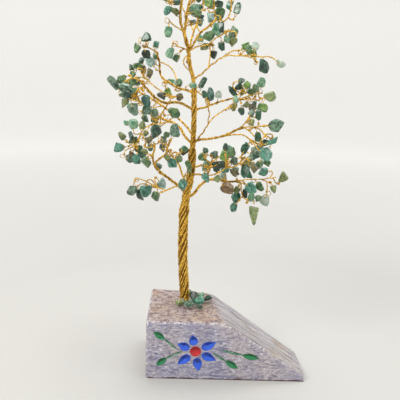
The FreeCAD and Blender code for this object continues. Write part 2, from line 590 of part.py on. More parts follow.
            (3.4, 105.6, 6.6, 5.2, 35, "teal"), (10.4, 115.2, 7.4, 3.9, 0, "black"),
            (13.8, 118, 7.8, 6.2, -45, "aqua"), (19.9, 119.8, 6.8, 5.4, -40, "moss"),
            (28.8, 118.6, 7, 4, -25, "pale"), (34.6, 126.6, 7.4, 6.8, 20, "olive"),
            (14.8, 112.6, 6.2, 5, 30, "mint"), (19, 112, 4.4, 3.4, 60, "moss"),
            (23.4, 110.4, 7.8, 6.6, 10, "clear"), (21.6, 129.6, 8, 5.6, 85, "teal"),
        ],
    },
    "back_left": {
        "limbs": [
            (0.9, [(-25.4, 10, 153), (-29, 20, 158), (-36, 27, 164), (-44, 32, 170), (-52, 35, 175),
                   (-59, 37, 178)]),
            (0.6, [(-44, 32, 170), (-51, 34, 168.6), (-57, 36, 167)]),
            (0.6, [(-36, 27, 164), (-43, 29, 159), (-50, 31, 153), (-55, 32, 147)]),
        ],
        "stones": [
            (-66, 183, 7, 5, -50, "moss"), (-60.4, 185, 6.6, 4.6, -10, "deep"),
            (-68.6, 175.6, 6.4, 4.8, -80, "teal"), (-63.4, 169, 7, 5, 60, "mint"),
            (-55, 161.6, 6.4, 4.6, -30, "grey"), (-61.6, 147.6, 7, 5, 70, "moss"),
            (-56.6, 138.6, 7.4, 5, 15, "deep"), (-51.6, 143.6, 6, 4.4, 0, "speck"),
        ],
    },
    "back_right": {
        "limbs": [
            (0.9, [(-24, 10, 131), (-19, 22, 132.6), (-12, 29, 134.4), (-5, 34, 135.6), (2, 37, 135.4),
                   (8, 39, 133.6)]),
            (0.6, [(-12, 29, 134.4), (-8, 33, 138.4), (-3, 36, 141)]),
            (0.6, [(2, 37, 135.4), (7, 39, 139.6), (10.4, 40, 142.4)]),
        ],
        "stones": [
            (13.6, 139, 6.4, 4.8, 60, "moss"), (9.6, 146, 6, 4.4, 10, "teal"),
            (11.6, 128.6, 7.4, 5, -20, "deep"), (3.4, 130, 6.6, 4.8, 10, "speck"),
            (-1.6, 143.6, 6.4, 4.4, 30, "mint"), (-8.6, 131, 6.6, 4.8, -10, "dark"),
            (-10, 139.6, 6, 4.4, -20, "moss"),
        ],
    },
    "back_top": {
        "limbs": [
            (0.9, [(-29.4, 9, 197), (-28.4, 20, 205), (-26, 28, 216), (-22, 33, 226), (-20, 35, 234),
                   (-21, 36, 240)]),
            (0.6, [(-26, 28, 216), (-31, 32, 226), (-36, 34, 234), (-39, 35, 240)]),
        ],
        "stones": [
            (-19.6, 247.6, 7.4, 5, 10, "deep"), (-26.6, 246.4, 6.6, 4.8, -40, "mint"),
            (-14.4, 238.6, 6.6, 4.8, 60, "moss"), (-15.6, 231.6, 6.4, 4.6, 50, "teal"),
            (-44, 243.6, 7, 5, -50, "moss"), (-37.6, 247.4, 7, 4.8, 5, "teal"),
            (-33, 238.6, 6, 4.4, 30, "speck"), (-42.6, 234.6, 6.4, 4.6, -70, "olive"),
        ],
    },
}

# Stones that hang free from a loop: (branch, x, z, length, width, lean, look)
PENDANTS = {
    "left_pendant": ("small_left", -41.4, 215.4, 7.6, 4.7, 3, "mint"),
    "short_pendant": ("small_left", -39.6, 202.8, 6.8, 5.8, 10, "mint"),
    "right_pendant": ("long_upper", 18.2, 196, 7.8, 6, -8, "dark"),
    "long_pendant": ("low_right", 16.9, 101.4, 16.4, 5.6, -3, "pale"),
}
LATE_STONES = [                   # chips at the ends of limbs, placed when the others are in place
    ("top_right", (-23.5, 227, 5.2, 4.2, 4, "moss")),
    ("mid_left", (-51, 165.6, 5.2, 4.2, -62, "dark")),
    ("long_upper", (6.6, 208.4, 5.4, 4.2, 52, "lime")),
    ("inner_left", (-30, 143, 5, 4, 40, "mint")),
]

EYE = (-25.0, -385.7, 207.0)      # the front viewpoint that the crown is composed for
TRUNK_DEPTH = 7.3                 # the trunk's plane
PLAN_DEPTH = 9.0                  # the depth that the layout gives the trunk's plane
DEPTH_SPREAD = 1.4                # how far the crown is fanned out of that plane
DEPTH_STEPS = (0, 2, -2, 4, -4, 6, -6, 8, -8, 10, -10, 12, -12, 15, -15, 18, -18)
STONE_GAP = 0.5                   # least room between a stone and its neighbours
THICK_SHARE = 0.55                # a stone's thickness against its width
SLIM_WIDTH = 3.45                 # a stone narrower than this is seen edge-on
SLIM_FULL_WIDTH = 4.8
HOLE_INSET = 1.4                  # from a stone's end to its drilled hole
LOOP_HEIGHT = 3.2                 # from the hole to where the loop's legs are twisted together
HEELS = 7                         # corners of a stone's outline, before one or two are left out
CORNER_REACH = 0.53               # from a stone's middle to a corner, against its size


def add(a, b, share=1.0):
    """a, moved by share times b."""
    return (a[0] + share * b[0], a[1] + share * b[1], a[2] + share * b[2])


def sub(a, b):
    return (a[0] - b[0], a[1] - b[1], a[2] - b[2])


def dot(a, b):
    return a[0] * b[0] + a[1] * b[1] + a[2] * b[2]


def cross(a, b):
    return (a[1] * b[2] - a[2] * b[1], a[2] * b[0] - a[0] * b[2], a[0] * b[1] - a[1] * b[0])


def size_of(a):
    return math.sqrt(dot(a, a))


def unit(a):
    return tuple(v / size_of(a) for v in a)


def fanned(x, depth, z):
    """A place of the layout, moved along the line of sight to its own depth."""
    y = TRUNK_DEPTH + DEPTH_SPREAD * (depth - PLAN_DEPTH)
    share = (y - EYE[1]) / (TRUNK_DEPTH - EYE[1])
    return (EYE[0] + (x - EYE[0]) * share, y, EYE[2] + (z - EYE[2]) * share)


def gap_between(p, q, a, b):
    """The least distance between the straight pieces p-q and a-b."""
    d, e, r = sub(q, p), sub(b, a), sub(p, a)
    dd, ee, de = dot(d, d) + 1e-12, dot(e, e) + 1e-12, dot(d, e)
    rd, re = dot(r, d), dot(r, e)
    scale = dd * ee - de * de
    s = min(1, max(0, (de * re - rd * ee) / scale)) if scale > 1e-9 else 0
    t = min(1, max(0, (de * s + re) / ee))
    s = min(1, max(0, (de * t - rd) / dd))
    return size_of(sub(add(p, d, s), add(a, e, t)))


def limb_pieces(limbs):
    """The straight pieces of a branch's bundles, as (start, end, radius)."""
    pieces = []
    for radius, places in limbs:
        points = [fanned(*place) for place in places]
        pieces += [(p, q, radius) for p, q in zip(points, points[1:])]
    return pieces


def depth_near(limbs, x, z):
    """The layout depth of the bundle that passes nearest to (x, z) in the front view."""
    best = None
    for _, places in limbs:
        for p, q in zip(places, places[1:]):
            for step in range(5):
                at = add(p, sub(q, p), step / 4)
                far = math.hypot(at[0] - x, at[2] - z)
                if best is None or far < best[0]:
                    best = (far, at[1])
    return best[1]


def twig_root(pieces, apex):
    """Where a twig leaves its bundle: a little back towards the trunk from the nearest place."""
    best = None
    for p, q, _ in pieces:
        run = sub(q, p)
        share = min(1, max(0, dot(sub(apex, p), run) / dot(run, run)))
        far = size_of(sub(apex, add(p, run, share)))
        if best is None or far < best[0] - 0.01:
            back = max(0, share - 0.45 * far / size_of(run))
            best = (far, add(p, run, back))
    return best[1]


def stone_at(pieces, spec, depth, turns, hangs):
    """One stone and its twig: centre, axes, sizes, drilled hole and the twig's three places."""
    x, z, length, width, lean, look = spec
    pitch, roll = turns
    slim = width < SLIM_WIDTH
    full = SLIM_FULL_WIDTH if slim else width
    thick = width if slim else THICK_SHARE * width
    lean, pitch = math.radians(lean), math.radians(pitch)
    roll = math.radians(80 if slim else roll)
    along = (math.sin(lean) * math.cos(pitch), math.sin(pitch), math.cos(lean) * math.cos(pitch))
    centre = fanned(x, depth, z)
    ends = [add(centre, along, side * length / 2) for side in (1, -1)]
    roots = [twig_root(pieces, end) for end in ends]
    near = 0 if hangs else min((0, 1), key=lambda n: size_of(sub(ends[n], roots[n])))
    out = along if near == 0 else tuple(-v for v in along)
    face = unit(sub((0, 1, 0), tuple(out[1] * v for v in out)))
    side = cross(out, face)
    thin = unit(add(tuple(math.cos(roll) * v for v in face), side, math.sin(roll)))
    hole = add(centre, out, length / 2 - HOLE_INSET)
    apex = add(hole, out, LOOP_HEIGHT)
    root = twig_root(pieces, apex)
    reach = size_of(sub(apex, root))
    toward = unit(sub(root, apex)) if reach > 0.01 else out
    lead = unit(add(out, toward, 1.0 if dot(out, toward) > -0.9 else 0.0))
    bend = add(apex, lead, min(0.45 * reach, 4.0))
    return {
        "centre": centre, "out": out, "thin": thin, "across": cross(thin, out),
        "size": (length, full, thick), "hole": hole, "apex": apex,
        "twig": [root, bend, apex] if reach > 1.2 else [root, apex], "look": look,
    }


def room_for(stone, stones, wires):
    """How clear a stone and its twig stand of everything placed so far."""
    length, width, thick = stone["size"]
    radius = 0.25 * (width + thick)
    half = max(0.0, length / 2 - radius)
    p, q = add(stone["centre"], stone["out"], half), add(stone["centre"], stone["out"], -half)
    room = 9.0
    for a, b, other in stones + wires:
        room = min(room, gap_between(p, q, a, b) - radius - other)
    for a, b in zip(stone["twig"], stone["twig"][1:]):
        for c, d, other in stones:
            room = min(room, gap_between(a, b, c, d) - other - 0.5)
    return room, (p, q, radius)


def lay_out(branches, pendants, late, trunk):
    """Every stone of the crown, by branch, each moved in depth until it clears its neighbours."""
    rng = random.Random(11)
    stones, wires, result = [], [], {name: [] for name in branches}
    wires += [(fanned(*p), fanned(*q), radius) for p, q, radius in trunk]
    for branch in branches.values():
        wires += limb_pieces(branch["limbs"])
    jobs = [(branch, pendant, tuple(spec)) for pendant, (branch, *spec) in pendants.items()]
    jobs += [(name, None, spec) for name, branch in branches.items() for spec in branch["stones"]]
    jobs += [(name, None, spec) for name, spec in late]
    for name, pendant, spec in jobs:
        limbs = branches[name]["limbs"]
        pieces = limb_pieces(limbs)
        middle = depth_near(limbs, spec[0], spec[1])
        turns = (rng.uniform(-22, 22), rng.uniform(-32, 32))
        if pendant:
            turns = (0, rng.uniform(-12, 12))
        tried = []
        for step in DEPTH_STEPS:
            stone = stone_at(pieces, spec, middle + step, turns, pendant)
            room, body = room_for(stone, stones, wires)
            tried.append((min(room, STONE_GAP), -abs(step), step, stone, body))
            if room >= STONE_GAP:
                break
        stone, body = max(tried, key=lambda t: t[:3])[3:]
        stone["room"] = max(tried)[0]
        stone["name"] = pendant
        stone["seed"] = rng.randrange(10000)
        stones.append(body)
        wires += [(a, b, 0.45) for a, b in zip(stone["twig"], stone["twig"][1:])]
        result[name].append(stone)
    return result


def outline_of(stone):
    """The five or six corners of a stone's outline, as (along, across), in order round it."""
    rng = random.Random(stone["seed"])
    length, width, _ = stone["size"]
    taper, skew = rng.uniform(-0.42, 0.42), rng.uniform(-0.2, 0.2)
    dropped = rng.sample(range(0, HEELS - 1, 2), rng.choice((1, 2)))
    corners = []
    for n in range(HEELS):
        angle = 2 * math.pi * (n + rng.uniform(-0.26, 0.26)) / HEELS
        u, v = math.cos(angle), math.sin(angle)
        if n not in dropped:
            bulge = v * (1 + taper * u) + skew * u
            corners.append((length * CORNER_REACH * u, width * CORNER_REACH * bulge))
    return corners


# ---------------------------------------------------------------- tubes, loops and stones

ROUND_SHARE = 0.45               # how much of a straight run its rounded corner may take up
LOOP_CLEARANCE = 0.85            # from a stone's flat side to the wire that passes it
LOOP_ROUNDS = (0.45, 0.45, 0.35) # the loop's corners, the last at the twig
CHIP_RINGS = [(0.6, -0.5), (1.0, -0.2), (1.0, 0.2), (0.6, 0.5)]   # outline size, height over thickness
DRILL_REACH = 12.0


def tube_edges(points):
    """Straight runs through the points, joined by tangent arcs as large as the runs allow."""
    edges, start = [], points[0]
    for before, corner, after in zip(points, points[1:], points[2:]):
        to_before, to_after = (before - corner), (after - corner)
        reach = ROUND_SHARE * min(to_before.Length, to_after.Length)
        if to_before.getAngle(to_after) > math.pi - 0.02:
            continue
        first = corner + to_before.normalize() * reach
        last = corner + to_after.normalize() * reach
        half_turn = (math.pi - to_before.getAngle(to_after)) / 2
        radius = reach / math.tan(half_turn)
        inward = (to_before + to_after).normalize()
        middle = corner + inward * (radius / math.cos(half_turn) - radius)
        edges.append(Part.LineSegment(start, first).toShape())
        edges.append(Part.Arc(first, middle, last).toShape())
        start = last
    edges.append(Part.LineSegment(start, points[-1]).toShape())
    return edges


def pipe(edges, radius):
    """A round tube along a smooth chain of edges."""
    start = edges[0].Vertexes[0].Point
    ahead = edges[0].tangentAt(edges[0].FirstParameter)
    ring = Part.Wire(Part.Circle(start, ahead, radius).toShape())
    return Part.Wire(edges).makePipeShell([ring], True, False)


def tube(points, radius):
    return pipe(tube_edges([vec(*p) for p in points]), radius)


def spans_of(points, corners=2):
    """A long bundle as short lengths that meet face to face, each round at most two corners."""
    cuts = [points[0]]
    spans = []
    for n, (p, q) in enumerate(zip(points, points[1:])):
        if n and n % corners == 0 and n < len(points) - 2:
            middle = add(p, sub(q, p), 0.5)
            spans.append(cuts + [middle])
            cuts = [middle]
        cuts.append(q)
    return spans + [cuts]


def loop_of(stone):
    """The loop of single wire: a rounded triangle through the drilled hole, closed at the twig's end."""
    heel = stone["size"][2] / 2 + LOOP_CLEARANCE
    hole, apex = vec(*stone["hole"]), vec(*stone["apex"])
    thin = vec(*stone["thin"])
    corners = [hole - thin * heel, hole + thin * heel, apex]
    edges = []
    ends = []
    for n, corner in enumerate(corners):
        to_last = (corners[n - 1] - corner).normalize()
        to_next = (corners[(n + 1) % 3] - corner).normalize()
        half = to_last.getAngle(to_next) / 2
        reach = LOOP_ROUNDS[n] / math.tan(half)
        inward = (to_last + to_next).normalize()
        middle = corner + inward * (LOOP_ROUNDS[n] / math.sin(half) - LOOP_ROUNDS[n])
        ends.append((corner + to_last * reach, middle, corner + to_next * reach))
    for n, (first, middle, last) in enumerate(ends):
        edges.append(Part.Arc(first, middle, last).toShape())
        edges.append(Part.LineSegment(last, ends[(n + 1) % 3][0]).toShape())
    edges = edges[1:] + edges[:1]
    return pipe(edges, size("wire_radius"))


def chip_of(stone):
    """A tumbled chip: a flat-sided pebble, homothetic rings round one centre, drilled near one end."""
    centre = vec(*stone["centre"])
    along, across, thin = vec(*stone["out"]), vec(*stone["across"]), vec(*stone["thin"])
    thick = stone["size"][2]
    outline = outline_of(stone)
    rings = []
    for scale, height in CHIP_RINGS:
        level = centre + thin * (height * thick)
        rings.append([level + along * (scale * u) + across * (scale * v) for u, v in outline])
    faces = [Part.Face(Part.makePolygon(ring + ring[:1])) for ring in (rings[0], rings[-1])]
    for low, high in zip(rings, rings[1:]):
        for n in range(len(low)):
            m = (n + 1) % len(low)
            faces.append(Part.Face(Part.makePolygon([low[n], low[m], high[m], high[n], low[n]])))
    pebble = Part.Solid(Part.Shell(faces))
    if pebble.Volume < 0:
        pebble.reverse()
    drill_start = vec(*stone["hole"]) - thin * (DRILL_REACH / 2)
    drill = Part.makeCylinder(size("drill_radius"), DRILL_REACH, drill_start, thin)
    return pebble.cut(drill)


# ---------------------------------------------------------------- the trunk

TRUNK = {                        # each stretch of the trunk: radius, places
    "trunk_lower": (size("trunk_radius"), [
        (-27.2, 9, 27), (-27.2, 9, 43), (-28.8, 9, 62), (-29.5, 9, 80), (-29.4, 9, 98), (-28.7, 9, 105.5)]),
    "trunk_middle": (2.7, [
        (-28.7, 9, 105.5), (-28, 9, 113), (-25.8, 9, 122), (-24.9, 9, 134), (-24.6, 9, 143)]),
    "trunk_upper": (1.9, [
        (-24.6, 9, 143), (-24.3, 9, 152), (-24.2, 9, 162), (-24.4, 9, 174), (-25, 9, 183)]),
    "trunk_top": (1.4, [
        (-25, 9, 183), (-25.3, 9, 187.5), (-27.8, 9, 195), (-28.7, 9, 204), (-31.6, 9, 214.5)]),
}


def trunk_pieces():
    """The trunk's straight pieces, as (start, end, radius)."""
    found = []
    for radius, places in TRUNK.values():
        found += [(p, q, radius) for p, q in zip(places, places[1:])]
    return found


for name, (radius, places) in TRUNK.items():
    shaped(tube([fanned(*place) for place in places], radius), name)

# ---------------------------------------------------------------- the foot of the trunk

FOOT_STONES = [                  # (x, y, length, width, turn, tilt, look), lying in the glue
    (-30.4, -2.6, 6.2, 4.4, 8, 6, "pale"), (-24.0, -6.0, 6.8, 5.8, -30, 12, "speck"),
    (-16.8, -2.6, 7.4, 5.8, 25, 24, "aqua"), (-20.8, 5.4, 5.8, 4.4, 82, 60, "black"),
    (-11.8, 3.8, 6.0, 4.0, 35, 20, "dark"), (-16.2, 8.4, 6.0, 4.4, -30, 26, "mint"),
    (-24.2, 14.4, 6.0, 4.4, 10, 10, "moss"), (-17.0, -8.4, 3.8, 3.0, -15, 10, "dark"),
    (-21.2, -0.6, 5.0, 3.6, 64, 34, "deep"),
]


def foot_stone(number):
    """One of the chips that lie in the glue round the trunk, propped up at one end by its tilt."""
    x, y, length, width, turn, tilt, look = FOOT_STONES[number]
    turn, tilt = math.radians(turn), math.radians(tilt)
    thick = THICK_SHARE * width
    flat, rise = math.cos(tilt), math.sin(tilt)
    level = size("base_height") + size("glue_thick") + rise * CORNER_REACH * length + flat * thick / 2
    out = (math.cos(turn) * flat, math.sin(turn) * flat, rise)
    across = (-math.sin(turn), math.cos(turn), 0.0)
    return {
        "centre": (x, y, level), "out": out, "thin": cross(out, across), "across": across,
        "size": (length, width, thick), "hole": add((x, y, level), out, length / 2 - HOLE_INSET),
        "look": look, "seed": 90 + number,
    }


def glue_pool():
    """The spilt glue round the trunk's foot, a thin disc with the trunk through it."""
    pool = doc.addObject("Part::Cylinder", "pool")
    bind(pool, Radius="Sizes.glue_radius", Height="Sizes.glue_thick")
    bind(pool, Placement__Base__x="Sizes.trunk_x + Sizes.glue_right")
    bind(pool, Placement__Base__y="Sizes.trunk_y - Sizes.glue_front")
    bind(pool, Placement__Base__z="Sizes.base_height")
    hole = doc.addObject("Part::Cylinder", "pool_hole")
    bind(hole, Radius="Sizes.bore_radius", Height="Sizes.glue_thick + 2")
    bind(hole, Placement__Base__x="Sizes.trunk_x", Placement__Base__y="Sizes.trunk_y")
    bind(hole, Placement__Base__z="Sizes.base_height - 1")
    glue = doc.addObject("Part::Cut", "trunk_glue")
    glue.Base, glue.Tool = pool, hole
    return sub_part(glue, "trunk_glue")


glue_pool()
shaped(Part.makeCompound([chip_of(foot_stone(n)) for n in range(len(FOOT_STONES))]), "foot_stones")

# ---------------------------------------------------------------- the crown

crown = lay_out(BRANCHES, PENDANTS, LATE_STONES, trunk_pieces())
for name, branch in BRANCHES.items():
    wires = []
    for radius, places in branch["limbs"]:
        for span in spans_of([fanned(*p) for p in places]):
            wires.append(tube(span, radius))
    for stone in crown[name]:
        wires.append(tube(stone["twig"], size("twig_radius")))
        wires.append(loop_of(stone))
    shaped(Part.makeCompound(wires), name + "_wires")
    threaded = [stone for stone in crown[name] if not stone["name"]]
    if threaded:
        shaped(Part.makeCompound([chip_of(stone) for stone in threaded]), name + "_stones")
    for stone in crown[name]:
        if stone["name"]:
            shaped(chip_of(stone), stone["name"])
            print("pivot", stone["name"], stone["hole"], stone["thin"])

# ---------------------------------------------------------------- checks and export

doc.recompute()
for thing in doc.Objects:
    if {"Invalid", "Error"} & set(thing.State):
        raise RuntimeError(f"{thing.Label} failed: {thing.State}")
for thing in pieces:
    if thing.Shape.isNull() or not thing.Shape.isValid():
        raise RuntimeError(f"{thing.Label} has no valid shape")
    if not thing.Shape.Solids:
        raise RuntimeError(f"{thing.Label} has no solid")
os.makedirs("parts", exist_ok=True)
for thing in pieces:
    thing.Shape.exportStep(f"parts/{thing.Label}.step")
    print(thing.Label, len(thing.Shape.Solids), "solids", round(thing.Shape.Volume, 1), "mm3")
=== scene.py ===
"""The looks of a gemstone-chip wire tree on a painted wooden wedge, built round its frame."""

import math
import random

import bmesh
import bpy
from mathutils import Matrix, Vector, noise


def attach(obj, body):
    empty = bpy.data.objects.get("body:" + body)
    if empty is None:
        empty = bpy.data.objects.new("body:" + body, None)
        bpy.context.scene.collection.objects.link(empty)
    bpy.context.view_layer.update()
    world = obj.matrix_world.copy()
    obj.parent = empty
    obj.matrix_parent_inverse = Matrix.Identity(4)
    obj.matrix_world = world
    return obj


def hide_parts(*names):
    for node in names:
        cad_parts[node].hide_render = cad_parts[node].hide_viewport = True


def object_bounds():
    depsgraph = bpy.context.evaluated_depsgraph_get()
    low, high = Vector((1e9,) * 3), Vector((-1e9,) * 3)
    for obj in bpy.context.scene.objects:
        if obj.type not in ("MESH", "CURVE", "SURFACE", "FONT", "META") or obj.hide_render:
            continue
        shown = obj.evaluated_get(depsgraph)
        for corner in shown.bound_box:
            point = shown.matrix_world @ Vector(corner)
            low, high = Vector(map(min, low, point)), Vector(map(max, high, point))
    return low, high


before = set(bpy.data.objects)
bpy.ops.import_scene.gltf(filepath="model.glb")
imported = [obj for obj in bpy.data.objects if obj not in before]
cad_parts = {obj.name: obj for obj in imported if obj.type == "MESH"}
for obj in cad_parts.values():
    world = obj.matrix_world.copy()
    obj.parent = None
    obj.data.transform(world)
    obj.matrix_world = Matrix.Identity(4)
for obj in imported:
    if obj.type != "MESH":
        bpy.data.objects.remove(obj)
cad_low, cad_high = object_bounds()

MM = 0.001
TREE = "tree"                     # the body that stands still

# ---------------------------------------------------------------- where the crown's pieces are (mm)

